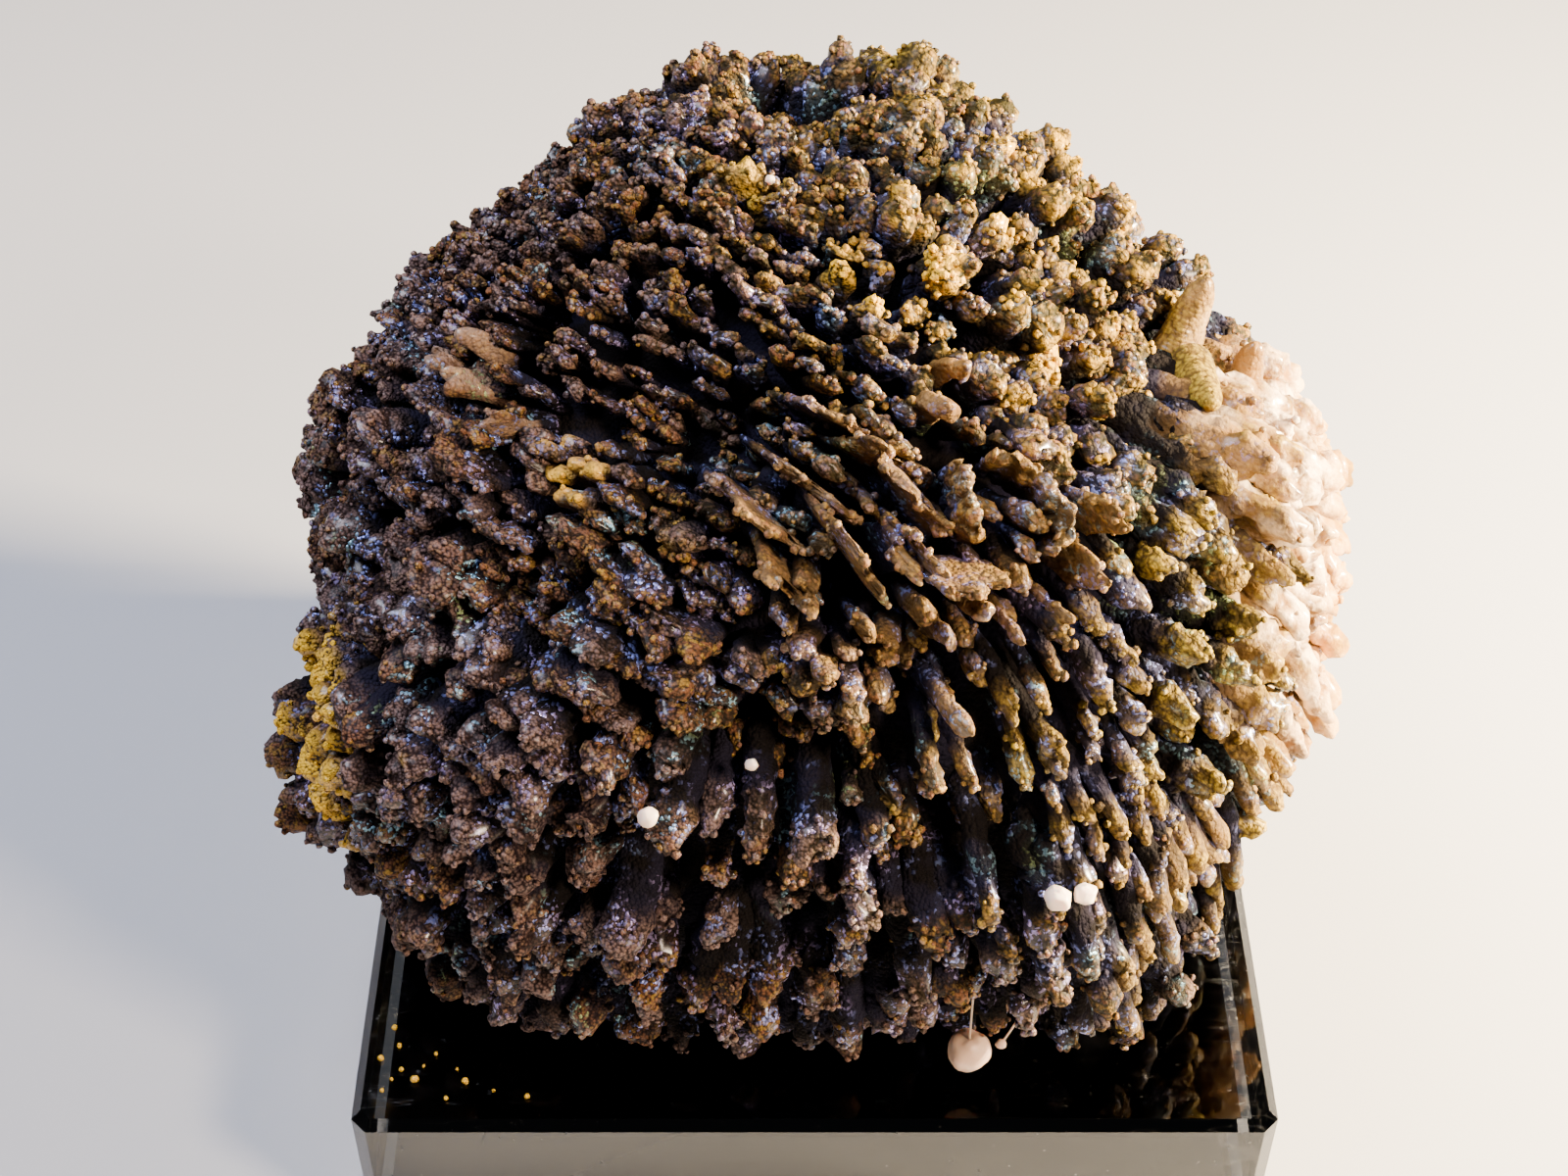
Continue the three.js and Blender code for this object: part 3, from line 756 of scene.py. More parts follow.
# Painted shade between the grains, at the left and at the upper right, and under the golden ones
CREVICE_SHADE, OLIVE_CREVICE_SHADE = colour(0.016, 0.008, 0.007), colour(0.030, 0.025, 0.008)
GOLD_CREVICE_SHADE = colour(0.085, 0.052, 0.008)
BROWN_GRAIN, GOLD_GRAIN = colour(0.165, 0.067, 0.029), colour(0.30, 0.170, 0.028)
PALE_GRAIN, GREY_GRAIN = colour(0.44, 0.25, 0.11), colour(0.165, 0.105, 0.092)
GOLDEN, OCHRE, ORANGE = colour(0.44, 0.31, 0.028), colour(0.72, 0.41, 0.025), colour(0.60, 0.27, 0.045)
# Bare stone at the left, at the right, and where it is smoothest, and the stains on it
TAN_STONE, GOLD_STONE = colour(0.42, 0.27, 0.185), colour(0.44, 0.25, 0.085)
CREAM_STONE = colour(0.98, 0.76, 0.50)
BLOTCH, RUST = colour(0.11, 0.055, 0.024), colour(0.40, 0.19, 0.040)
BROWN_CREASE, ORANGE_RIM = colour(0.26, 0.115, 0.030), colour(0.58, 0.28, 0.05)
EARTH = colour(0.16, 0.05, 0.022)
# The painted shade of the depths: near black, a little blue in places
BLACK, BLUE_BLACK = colour(0.004, 0.003, 0.003), colour(0.008, 0.007, 0.014)
VIOLET_FILM, BLUE_FILM = colour(0.46, 0.36, 0.70), colour(0.32, 0.38, 0.88)
SEA_FILM, GREEN_FILM = colour(0.30, 0.54, 0.66), colour(0.40, 0.52, 0.22)


def right_share(tree, place):
    """A share that rises from 0 at the left and foot to 1 at the upper right."""
    side = apart(tree, place)
    return ramp(tree, scaled(tree, side[2], 0.5, side[0]), 0.005, 0.060)


def grain_colours(tree, at, pick, patch, right):
    """By chance a grain is brown, golden or pale. The upper right has more gold, and a few more pale grains
    as painted light on its lit side, and broad places are greyer."""
    gold = scaled(tree, right, 0.40, scaled(tree, patch, 0.5, pick[0]))
    bead = blend(tree, ramp(tree, gold, 0.65, 1.30), BROWN_GRAIN, GOLD_GRAIN)
    # Painted light: pale grains grow a little more common towards the lit upper right
    pale = scaled(tree, right, 0.08, scaled(tree, at["tone"], 0.12, pick[1]))
    bead = blend(tree, ramp(tree, pale, 0.92, 1.2), bead, PALE_GRAIN)
    broad = noise(tree, at["Place"], 60, 2)
    grey = scaled(tree, at["tone"], 0.22, scaled(tree, right, -0.45, broad))
    return blend(tree, ramp(tree, grey, 0.20, 0.60), bead, GREY_GRAIN)


def stone_colours(tree, at, fine, patch, right):
    """Bare stone: blotchy tan, cream where it is smoothest, with rust in its furrows at the right, brown
    in the creases of the smooth lumps, and an orange rim at the far right."""
    high = blend(tree, right, TAN_STONE, GOLD_STONE)
    high = blend(tree, ramp(tree, at["bare"], 0.55, 0.76), high, CREAM_STONE)
    blotch = scaled(tree, fine, 0.35, noise(tree, at["Place"], 420, 3))
    stone = blend(tree, ramp(tree, blotch, 0.48, 0.80), BLOTCH, high)
    furrow = ramp(tree, scaled(tree, at["knob"], -0.45, patch), 0.20, 0.42)
    stone = blend(tree, times(tree, furrow, times(tree, right, 0.8)), stone, RUST)
    crease = one_minus(tree, ramp(tree, at["knob"], 0.12, 0.45))
    crease = times(tree, ramp(tree, at["bare"], 0.5, 0.7), crease)
    stone = blend(tree, times(tree, crease, 0.8), stone, BROWN_CREASE)
    rim = ramp(tree, apart(tree, at["Place"])[0], 0.0385, 0.0420)
    return blend(tree, times(tree, rim, 0.75), stone, ORANGE_RIM)


def film_colours(tree, at):
    """The oxide film: violet, then blue, blue-green and green as a broad noise rises."""
    hue = scaled(tree, at["green"], 0.16, noise(tree, at["Place"], 150, 1))
    sheen = blend(tree, ramp(tree, hue, 0.42, 0.50), VIOLET_FILM, BLUE_FILM)
    sheen = blend(tree, ramp(tree, hue, 0.58, 0.64), sheen, SEA_FILM)
    return blend(tree, ramp(tree, hue, 0.68, 0.74), sheen, GREEN_FILM)


def film_share(tree, at, sheet, tip, right, pick, speck, plain):
    """Where the film shows: on some grains, in sheets, most on the fingers' sides, and not on plain
    places, such as dusted or bare ones."""
    chosen = times(tree, ramp(tree, speck[0], 0.66, 0.74), ramp(tree, pick[2], 0.25, 0.5))
    film = times(tree, sheet, scaled(tree, right, 0.07, chosen, clamp=True))
    side = times(tree, one_minus(tree, tip), ramp(tree, at["depth"], -3.6, -1.6))
    film = times(tree, film, scaled(tree, side, 1.1, 0.3))
    film = times(tree, film, scaled(tree, at["violet"], 1.3, 0.0), clamp=True)
    return times(tree, film, one_minus(tree, plain, clamp=True))


# %% The crust's colours as a node group
def crust_group():
    """Painted shade between the grains and their own colours on top, then the tints in the order in which
    they lie on each other, then the painted shade of the depths and the film."""
    inputs = {"Place": PLACE, **{key: NUMBER for key in CRUST_VALUES}}
    outputs = {"Colour": COLOUR, "Metal": NUMBER, "Roughness": NUMBER, "Wet": NUMBER, "Height": NUMBER}
    tree, given, result = new_group("crust", inputs, outputs)
    at = given.outputs
    fine = noise(tree, at["Place"], 2600, 3)
    patch = noise(tree, at["Place"], 240, 2)
    right = right_share(tree, at["Place"])
    coarse, pick = grains(tree, at["Place"], GRAINS_PER_METRE)
    small, speck = grains(tree, at["Place"], SPECKS_PER_METRE)
    grain = times(tree, sums(tree, "SUBTRACT", coarse, small), scaled(tree, right, 0.4, 0.3))
    grain = plus(tree, grain, small)
    tip = ramp(tree, at["depth"], -2.0, -0.2)
    bare = ramp(tree, at["bare"], 0.15, 0.8)
    # Painted shade: the tops of the grains and knobs stay light, and the creases between them fade to the
    # dark crevice colours, a little more at the upper right
    top = scaled(tree, at["knob"], 0.40, times(tree, grain, 0.55))
    top = scaled(tree, fine, 0.15, scaled(tree, right, -0.05, top))
    peak = ramp(tree, top, 0.57, 0.92)
    crevice_shade = blend(tree, right, CREVICE_SHADE, OLIVE_CREVICE_SHADE)
    base = blend(tree, peak, crevice_shade, grain_colours(tree, at, pick, patch, right))
    base = blend(tree, bare, base, stone_colours(tree, at, fine, patch, right))
    gold = ramp(tree, plus(tree, patch, at["green"]), 0.80, 1.20)
    base = blend(tree, times(tree, gold, 0.85), base, blend(tree, peak, GOLD_CREVICE_SHADE, GOLDEN))
    dust = ramp(tree, plus(tree, patch, at["ochre"]), 0.82, 1.12)
    dust = times(tree, ramp(tree, scaled(tree, bare, 0.3, top), 0.45, 0.72), dust)
    dust = times(tree, dust, tip)
    base = blend(tree, dust, base, blend(tree, bare, OCHRE, ORANGE))
    base = blend(tree, at["earth"], base, EARTH)
    # Painted shade of the depths: below a depth that changes on bare stone and towards the upper right, the
    # colour fades to near black
    deepest = scaled(tree, bare, -9.0, scaled(tree, right, 0.9, -3.5))
    lit = ramp(tree, at["depth"], deepest, -0.5)
    depth_shade = blend(tree, ramp(tree, noise(tree, at["Place"], 200, 2), 0.48, 0.60), BLACK, BLUE_BLACK)
    dark = blend(tree, lit, depth_shade, base)
    plain = sums(tree, "MAXIMUM", dust, sums(tree, "SUBTRACT", bare, at["green"], clamp=True))
    sheet = ramp(tree, noise(tree, at["Place"], 330, 2), 0.47, 0.60)
    film = film_share(tree, at, sheet, tip, right, pick, speck, plain)
    rough = scaled(tree, film, -0.42, 0.62)
    rough = scaled(tree, sums(tree, "MAXIMUM", dust, one_minus(tree, lit)), 0.2, rough)
    wet = ramp(tree, scaled(tree, pick[1], 0.5, sheet), 0.3, 1.2)
    grainy = times(tree, grain, one_minus(tree, bare, clamp=True))
    made = {"Colour": blend(tree, film, dark, film_colours(tree, at)), "Metal": times(tree, film, 0.9),
            "Roughness": scaled(tree, bare, -0.2, rough),
            "Wet": times(tree, scaled(tree, wet, 0.6, 0.08), lit), "Height": scaled(tree, fine, 0.3, grainy)}
    for key, socket in made.items():
        tree.links.new(socket, result.inputs[key])
    return tree


CRUST = crust_group()
print("the crust's group has", len(CRUST.nodes), "nodes and reads", len(CRUST_VALUES), "point values")


# %% The crust's material
def new_material(name):
    """An empty material: its node tree, its shader and its place on the object."""
    material = bpy.data.materials.new(name)
    material.use_nodes = True
    tree = material.node_tree
    place = add_node(tree, "ShaderNodeTexCoord").outputs["Object"]
    return material, tree, tree.nodes["Principled BSDF"], place


def add_bump(tree, shader, height, strength, distance):
    """A bump from a height, into the shader's normal."""
    bump = add_node(tree, "ShaderNodeBump")
    bump.inputs["Strength"].default_value = strength
    bump.inputs["Distance"].default_value = distance
    tree.links.new(height, bump.inputs["Height"])
    tree.links.new(bump.outputs["Normal"], shader.inputs["Normal"])


def crust_material(name):
    """The depths hardly shine, so the crust's own shine is faint, and the coat makes the wet tips."""
    material, tree, shader, place = new_material(name)
    shader.inputs["Specular IOR Level"].default_value = 0.05
    crust = add_node(tree, "ShaderNodeGroup")
    crust.node_tree = CRUST
    tree.links.new(place, crust.inputs["Place"])
    for key in CRUST_VALUES:
        value = add_node(tree, "ShaderNodeAttribute", attribute_name=key)
        tree.links.new(value.outputs["Fac"], crust.inputs[key])
    add_bump(tree, shader, crust.outputs["Height"], 0.9, 0.0004)
    for key, socket in (("Colour", "Base Color"), ("Metal", "Metallic"), ("Roughness", "Roughness"),
                        ("Wet", "Coat Weight")):
        tree.links.new(crust.outputs[key], shader.inputs[socket])
    shader.inputs["Coat Roughness"].default_value = 0.22
    return material


CRUST_FINISH = crust_material("goethite_crust")
print("made the finish", CRUST_FINISH.name)

# %% [markdown]
# ## The heart of the mass
# Between the fingers one looks down into darkness. A closed, bumpy shell below the grooves fills it, so
# that no light comes through, and it is painted nearly black, as painted shade. Its underside is flattened
# just over the block.

# %% The dark inner shell
REST_GAP = 0.15
SHELL_DEPTH = 6.2
SHELL_DETAIL = (64, 112)


def crust_piece(name, skin, values, *replaced):
    """A piece of crust from closed tubes. The values are what the finish reads at each point of the
    rings: an array, or one number for all. One that is left out is 0."""
    values = {key: spread_over(values.get(key, 0.0), skin) for key in CRUST_VALUES}
    points, faces = closed_tubes(skin)
    return piece_from(name, points, faces, values, CRUST_FINISH, "goethite", *replaced)


def over_block(skin):
    """The points, none of them lower than just over the block's top."""
    skin[..., 2] = np.maximum(skin[..., 2], BLOCK_TOP + REST_GAP)
    return skin


def inner_shell():
    """A ball of rings from pole to pole, at the envelope's reach less the shell's depth, with bubbles."""
    rings, sides = SHELL_DETAIL
    tilt = (np.arange(rings) + 0.5) / rings * np.pi
    tilt, turn = np.meshgrid(np.pi - tilt, turns(sides), indexing="ij")
    d = face_direction(np.sin(tilt) * np.cos(turn), np.sin(tilt) * np.sin(turn), np.cos(tilt))
    flat = d.reshape(-1, 3)
    reach = tip_reach(flat) - SHELL_DEPTH
    points = flat * reach[:, None]
    points = points + unit(points) * (1.3 * bubbles(points, 2.6, 8)[:, None] - 0.4) + HEART
    skin = over_block(points).reshape(1, rings, sides, 3)
    # A depth of -5 paints the whole shell in the painted shade of the depths
    values = {"depth": -5.0, "knob": 0.3, "earth": smooth_step(-skin[..., 2], -26, -21)}
    return crust_piece("inner_shell", skin, values, "goethite")


inner_shell()


# %% Grow the fingers, part by part
def crust_values(skin, knob, f, t):
    """What the crust's finish reads at each point. Depth is measured back from the tip, along the finger,
    less for stouter ones. It is made greater at a clump's border, and where the mass faces down, to paint
    shade there."""
    values = {key: f[key][:, None, None] for key in ("tone", "ochre", "green", "violet")}
    along = unit(f["tip"] - f["root"])
    back = ((skin - f["tip"][:, None, None]) * along[:, None, None]).sum(axis=-1)
    down = -unit(f["tip"] - HEART)[:, 2]
    painted_shade = f["shade"] + 2.0 * smooth_step(down, 0.2, 0.55)
    values["depth"] = back / (0.5 + 0.6 * f["radius"])[:, None, None] - painted_shade[:, None, None]
    values["knob"] = knob
    values["bare"] = f["bare"][:, None, None] * smooth_step(t, 0.02, 0.35)[..., None]
    values["earth"] = smooth_step(-skin[..., 2], -27, -21) * smooth_step(down, 0.7, 0.85)[:, None, None]
    return {key: np.broadcast_to(value, skin.shape[:3]) for key, value in values.items()}


# The rings of a small bead: angles from its top, and knob values that paint its lower ring in crevice shade
# and its top lighter
BEAD_TILTS = np.radians([125, 82, 38])
BEAD_KNOBS = np.array([0.1, 0.6, 1.0])
BEAD_SIDES = 5


def bead_piece(name, skin, values, f, rng):
    """Small beads on the fingers' skins, most near the tips. Each is three rings round its own normal."""
    count = np.maximum(0, f["beads"] * 2.0 + 0.8 * chance(np.arange(len(skin)), 41)).round().astype(int)
    finger = np.repeat(np.arange(len(skin)), count)
    rings = skin.shape[1]
    ring = rings - 1 - np.floor(rng.random(len(finger)) ** 1.3 * 0.62 * rings).astype(int)
    side = rng.integers(0, skin.shape[2], len(finger))
    axis = unit(skin_normals(skin)[finger, ring, side] + 0.3 * rng.normal(size=(len(finger), 3)))
    radius = 0.20 + 0.22 * rng.random(len(finger))
    middle = skin[finger, ring, side] + axis * (0.1 * radius)[:, None]
    wide = unit(np.cross(axis, unit(rng.normal(size=axis.shape))))
    flat = circles(wide, np.cross(axis, wide), BEAD_SIDES)[:, None]
    tilt = BEAD_TILTS[:, None, None]
    beads = axis[:, None, None] * np.cos(tilt) + flat * np.sin(tilt)
    beads = beads * (radius[:, None, None, None] * (1 + 0.12 * rng.normal(size=beads.shape)))
    taken = {key: values[key][finger, ring, side][:, None, None] for key in CRUST_VALUES}
    # The bead stands a little out of the painted shade of the skin under it
    taken["depth"] = taken["depth"] + 0.5
    taken["knob"] = BEAD_KNOBS[:, None]
    taken["tone"] = taken["tone"] + 0.5 * rng.normal(size=(len(finger), 1, 1))
    return crust_piece(name, over_block(middle[:, None, None] + beads), taken, "goethite")


def finger_piece(name, f, rings, sides, seed=None):
    """One piece from many fingers, and one more of the beads on them if there is a seed for chance."""
    skin, t = finger_rings(f, rings, sides)
    skin, knob = push_out(skin, f, t)
    skin = over_block(skin)
    values = crust_values(skin, knob, f, t)
    crust_piece(name, skin, values, "goethite")
    if seed is not None:
        source = np.random.default_rng(seed)
        bead_piece(name.replace("_fingers", "") + "_grains", skin, values, f, source)


def part_of_face(d):
    """The piece that each direction belongs to. The face and top are split by their place, and the rest
    is the back."""
    across, up, out = d @ RIGHT, d @ UP, d @ OUT
    seen = out > -0.08
    names = np.full(len(d), "back_left_fingers", dtype=object)
    names[across > 0] = "back_right_fingers"
    names[seen] = "middle_fingers"
    names[seen & (up > 0.4)] = "crown_fingers"
    names[seen & (up < -0.4)] = "foot_fingers"
    names[seen & (np.abs(up) <= 0.4) & (across < -0.3)] = "left_fingers"
    names[seen & (np.abs(up) <= 0.4) & (across > 0.42)] = "right_fingers"
    return names


# Fingers up to each radius have this many rings and sides. Those at the back are the plainest, and have
# no beads
DETAIL = {"slender": (0.8, 11, 8), "even": (1.15, 13, 12), "stout": (9, 20, 18)}
BACK_DETAIL = (10, 8)
LOWEST_TIP = 20.8

above_block = (HEART + FINGER_AT * tip_reach(FINGER_AT)[:, None])[:, 2] > LOWEST_TIP
FINGER_AT = FINGER_AT[above_block]
owner = part_of_face(FINGER_AT)
style = style_of(FINGER_AT)
radius = style["spacing"] * style["fill"]
for number, name in enumerate(sorted(set(owner))):
    if name.startswith("back"):
        finger_piece(name, finger_facts(FINGER_AT[owner == name], 1000 * number), *BACK_DETAIL)
        continue
    smallest = 0
    for step, (size, (largest, rings, sides)) in enumerate(DETAIL.items()):
        mine = (owner == name) & (radius >= smallest) & (radius < largest)
        smallest = largest
        if mine.any():
            facts = finger_facts(FINGER_AT[mine], 1000 * number + 300 * step)
            seed = 100 + 3 * number + step
            finger_piece(name.replace("fingers", size + "_fingers"), facts, rings, sides, seed)

# %% [markdown]
# ## Plates, slabs, cones and the fringe
# The measured pieces come from the same profile along a path as the fingers. Broken ones have squarer
# sections, short caps and ragged ends, and some are partly bare of crust. The cones taper.

# %% Build the measured pieces
PLAIN = {"cap": 1.2, "taper": 0.05, "knob": 0.4, "beads": 0, "ochre": 0.1, "green": 0.1, "violet": 0.5,
         "bare": 0.0, "square": 1.0, "ragged": 1.5}
BROKEN = {**PLAIN, "cap": 0.3, "knob": 0.16, "violet": 0.9, "bare": 0.36, "square": 0.55, "ragged": 4.5,
          "beads": 7, "taper": 0.42}
SLAB = {**BROKEN, "bare": 0.45, "ragged": 2.4, "taper": 0.25, "cap": 0.2}
YELLOW_SLAB = {**BROKEN, "ochre": 0.28, "green": 0.4, "bare": 0.0, "knob": 0.5, "ragged": 3, "beads": 16}
WEDGE = {**PLAIN, "taper": 0.55, "knob": 0.3, "green": 0.3, "bare": 0.4, "square": 0.7}
GREEN_CONE = {**PLAIN, "cap": 1.6, "taper": 0.3, "knob": 0.6, "green": 0.7, "bare": 0.15, "beads": 4}
HANGING = {**PLAIN, "beads": 12, "taper": 0.2}

# Each kind: its places, its sizes, its rings and sides, and the seed of its beads, if it has any
KINDS = [
    ("plates", PLATES, BROKEN, 18, 24, 300), ("slabs", SLABS, SLAB, 16, 24, None),
    ("yellow_slabs", YELLOW_SLABS, YELLOW_SLAB, 18, 26, 500), ("wedges", WEDGES, WEDGE, 16, 16, None),
    ("green_cones", GREEN_CONES, GREEN_CONE, 22, 22, 400),
    ("fringe_fingers", FRINGE, HANGING, 20, 16, 200),
]
for name, places, sizes, rings, sides, seed in KINDS:
    finger_piece(name, placed_facts(places, sizes), rings, sides, seed)


# %% [markdown]
# ## Horns
# Four pointed horns stand out at the right. The largest is a golden cone with fine growth rings across
# it. Each is a cone carried along a slightly bowed path, with a sine ripple on its radius.

# %% The horns
# Each row: across, up, lean across, lean up, lean out, length, radius, ripple
HORNS = np.array([
    [30.4, 18.8, 0.34, 0.88, 0.40, 6.6, 1.75, 0.010], [31.4, 17.6, 0.10, -0.42, 0.90, 8.2, 1.8, 0.004],
    [42.4, 9, -0.28, 0.96, 0.05, 10, 1.6, 0.004], [36.5, 15, 0.2, 0.9, 0.3, 5, 1.5, 0.004],
])
HORN_FOOT = 3
HORN_RINGS = 66
HORN_RIPPLES = 19
HORN_SIDES = 28
# How light each horn's skin is, how strongly its rings show, and how golden it is
HORN_KNOBS = np.array([0.6, 0.75, 0.1, 0.1])
HORN_RINGS_SHOWN = np.array([0.17, 0.03, 0.1, 0.1])
HORN_GOLD = np.array([0.46, 0.95, 0.4, 0.35])


def horns():
    """Cones from under the skin: the radius falls with the distance along, and ripples many times."""
    d = towards(HORNS[:, 0], HORNS[:, 1])
    axis = unit(HORNS[:, 2:5] @ np.array([RIGHT, UP, OUT]))
    foot = d * (tip_reach(d) - HORN_FOOT)[:, None] + HEART
    t = np.arange(HORN_RINGS) / HORN_RINGS
    wide = unit(np.cross(axis, OUT))
    thin = np.cross(axis, wide)
    path = foot[:, None] + axis[:, None] * (HORNS[:, 5:6] * t)[..., None]
    path = path + (thin * 0.5)[:, None] * np.sin(np.pi * t)[:, None]
    wave = np.sin(t * 2 * np.pi * HORN_RIPPLES)
    radius = HORNS[:, 6:7] * (1.15 - 0.62 * t) * np.sqrt(1 - t ** 8) * (1 + HORNS[:, 7:8] * wave)
    skin = path[:, :, None] + circles(wide, thin, HORN_SIDES)[:, None] * radius[..., None, None]
    skin = skin + skin_normals(skin) * (0.16 * bubbles(skin, 1.6, 9) - 0.08)[..., None]
    shown = HORN_RINGS_SHOWN[:, None, None] * (0.5 + 0.5 * wave)[:, None]
    # The depth paints each horn's foot in the painted shade of the depths, fading out along it
    values = {"depth": (-4 + 6 * t)[:, None], "knob": HORN_KNOBS[:, None, None] + shown,
              "green": HORN_GOLD[:, None, None], "bare": 0.5}
    return crust_piece("horns", skin, values, "goethite")


horns()

# %% [markdown]
# ## The broken shell
# At the right of the plates stands the rim of a broken shell: two thin curved walls with a dark hollow
# between them. A wall is a tall thin section carried along a curve through measured places.

# %% The shell's walls
WALL_HEIGHT = 5.5
WALL_THICKNESS = 0.75
WALL_RISE = 1.9
WALL_STEPS = 72
WALL_SIDES = 36


def shell_wall(name, places):
    """Tall superellipses along the curve. Bubbles roughen the skin and raise and lower the upper edge."""
    places = np.array(places, float)
    at = np.linspace(0, len(places) - 1, WALL_STEPS)
    across, up = (np.interp(at, np.arange(len(places)), column) for column in places.T)
    smooth = np.array([1, 2, 3, 2, 1]) / 9
    across, up = (np.convolve(np.pad(line, 2, mode="edge"), smooth, mode="valid") for line in (across, up))
    d = towards(across, up)
    middle = d * (tip_reach(d) + WALL_RISE - WALL_HEIGHT / 2)[:, None] + HEART
    tangent = unit(np.gradient(middle, axis=0))
    thin = unit(np.cross(tangent, d))
    turn = turns(WALL_SIDES)
    x, y = power_of(np.cos(turn), 0.6), power_of(np.sin(turn), 0.8)
    end = np.sqrt(1 - np.abs(np.linspace(-0.97, 0.97, WALL_STEPS)) ** 6)[:, None, None]
    skin = middle[:, None] + d[:, None] * (x[:, None] * end * WALL_HEIGHT / 2)
    skin = skin + thin[:, None] * (y[:, None] * end * WALL_THICKNESS / 2)
    rough = bubbles(skin, 1.1, 21)
    fine = bubbles(skin, 0.6, 24)
    edge = 1.6 * bubbles(skin, 1.7, 22) + 0.7 * rough - 1.1
    skin = skin + d[:, None] * (edge * np.maximum(0, x))[..., None]
    skin = skin + thin[:, None] * (np.sign(y) * (0.5 * (rough - 0.4) + 0.25 * (fine - 0.4)))[..., None]
    # The depth paints each wall darker downwards, as painted shade, from its upper edge to its foot
    values = {"depth": (x - 1) * WALL_HEIGHT / 2, "knob": rough[None], "violet": 0.8, "bare": 0.32}
    return crust_piece(name, skin[None], values, "goethite")


for number, wall in enumerate(SHELL_WALLS):
    shell_wall(f"shell_wall_{number + 1}", wall)

# %% [markdown]
# ## Pale beads
# Three waxy beads sit at the lower right. One hangs on a stalk as thin as a hair, and one more thin
# fibre ends in a tiny bead. Three pale grains lie on the face. A bead is a ball of rings, a little uneven
# or with flat places, and its finish lets some light in under the skin.

# %% The beads and their fibres
HANGING_BEAD = [12.4, -34.5, 24.7, 1.65]
LEFT_BEAD = [17.2, -40.2, 51.7, 1.0]
RIGHT_BEAD = [19.2, -39.3, 51.1, 0.9]
SMALL_BEAD = [14.9, -34.9, 26.2, 0.42]
STALK_RADIUS = 0.09


def wax_material(name, low, high):
    """Cloudy between two colours, with light let in under the skin."""
    material, tree, shader, place = new_material(name)
    cloud = noise(tree, place, 900, 3)
    tree.links.new(blend(tree, cloud, low, high), shader.inputs["Base Color"])
    shader.inputs["Roughness"].default_value = 0.4
    shader.inputs["Subsurface Weight"].default_value = 0.35
    shader.inputs["Subsurface Radius"].default_value = (1.0, 0.5, 0.3)
    shader.inputs["Subsurface Scale"].default_value = 0.0008
    add_bump(tree, shader, cloud, 0.4, 0.0002)
    return material


PALE_WAX = wax_material("pale_wax", colour(0.72, 0.50, 0.38), colour(0.90, 0.80, 0.66))
ROSY_WAX = wax_material("rosy_wax", colour(0.50, 0.30, 0.21), colour(0.70, 0.50, 0.38))


def ball(x, y, z, radius, rings=18, sides=26):
    """A ball of rings from its lowest point up, with three shallow bumps round it."""
    tilt = np.pi * (1 - (np.arange(rings) + 0.5) / rings)
    tilt, turn = np.meshgrid(tilt, turns(sides), indexing="ij")
    size = radius * (1 + 0.05 * np.cos(3 * turn + x) * np.sin(tilt) + 0.04 * np.cos(2 * tilt + y))
    d = np.stack([np.sin(tilt) * np.cos(turn), np.sin(tilt) * np.sin(turn), np.cos(tilt)], axis=-1)
    points = d * size[..., None] + np.array([x, y, z])
    return (points + d * (0.16 * radius * (bubbles(points, 0.9 * radius, 14) - 0.5))[..., None])[None]


def cut_ball(x, y, z, radius, rings=22, sides=30):
    """A ball with flat places, as if some slices were cut off: where a slice's plane is nearer than the
    ball's skin, the skin stops at the plane."""
    source = np.random.default_rng(int(abs(x) * 100))
    slices = unit(source.normal(size=(14, 3)))
    middle = np.array([x, y, z])
    away = ball(x, y, z, radius, rings, sides) - middle
    far = np.linalg.norm(away, axis=-1, keepdims=True)
    over = ((away / far) @ slices.T).max(axis=-1, keepdims=True)
    return middle + away / far * np.minimum(far, 0.84 * radius / np.maximum(over, 0.1))


def fibre(start, end, sag, rings=14, sides=8):
    """A hair: circles along a line from start to end that sags like half a sine wave."""
    start, end = np.array(start, float), np.array(end, float)
    t = np.linspace(0, 1, rings)
    path = start + (end - start) * t[:, None] + np.array([0, 0, -sag]) * np.sin(np.pi * t)[:, None]
    ahead = unit(end - start)
    wide = unit(np.cross(ahead, OUT))
    ring = circles(wide, np.cross(ahead, wide), sides)
    return (path[:, None] + ring * STALK_RADIUS)[None]


def wax_piece(name, rings, wax, *replaced):
    """A piece of wax from closed tubes, and the solids that it stands for."""
    points, faces = closed_tubes(rings)
    return piece_from(name, points, faces, {}, wax, "bead", *replaced)


wax_piece("hanging_ball", ball(*HANGING_BEAD), ROSY_WAX, "hanging_bead")
wax_piece("hanging_stalk", fibre([12.4, -34.5, 26.1], [12.5, -33.6, 31.5], 0), ROSY_WAX, "hanging_bead")
wax_piece("left_ball", cut_ball(*LEFT_BEAD), PALE_WAX, "left_bead")
wax_piece("right_ball", cut_ball(*RIGHT_BEAD), PALE_WAX, "right_bead")
wax_piece("small_ball", ball(*SMALL_BEAD, 8, 10), ROSY_WAX)
# Each tiny grain: its place across and up, and its radius
for number, (across, up, size) in enumerate([[-12.0, -17.4, 0.8], [-3.1, 28.4, 0.4], [-4.5, -13.6, 0.5]]):
    place = HEART + towards(across, up) * (tip_reach(towards(across, up)) + 0.9)
    wax_piece(f"white_grain_{number + 1}", cut_ball(*place, size, 10, 12), PALE_WAX)
wax_piece("small_fibre", fibre(SMALL_BEAD[:3], [17.5, -33.2, 31.5], 0.4), ROSY_WAX)

# %% [markdown]
# ## The acrylic block
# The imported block's shape is right, so only its finish changes. Clear acrylic bends light by 1.49. Its
# faces are polished, with a few hairline scratches and some dust, which show as rougher lines and specks.

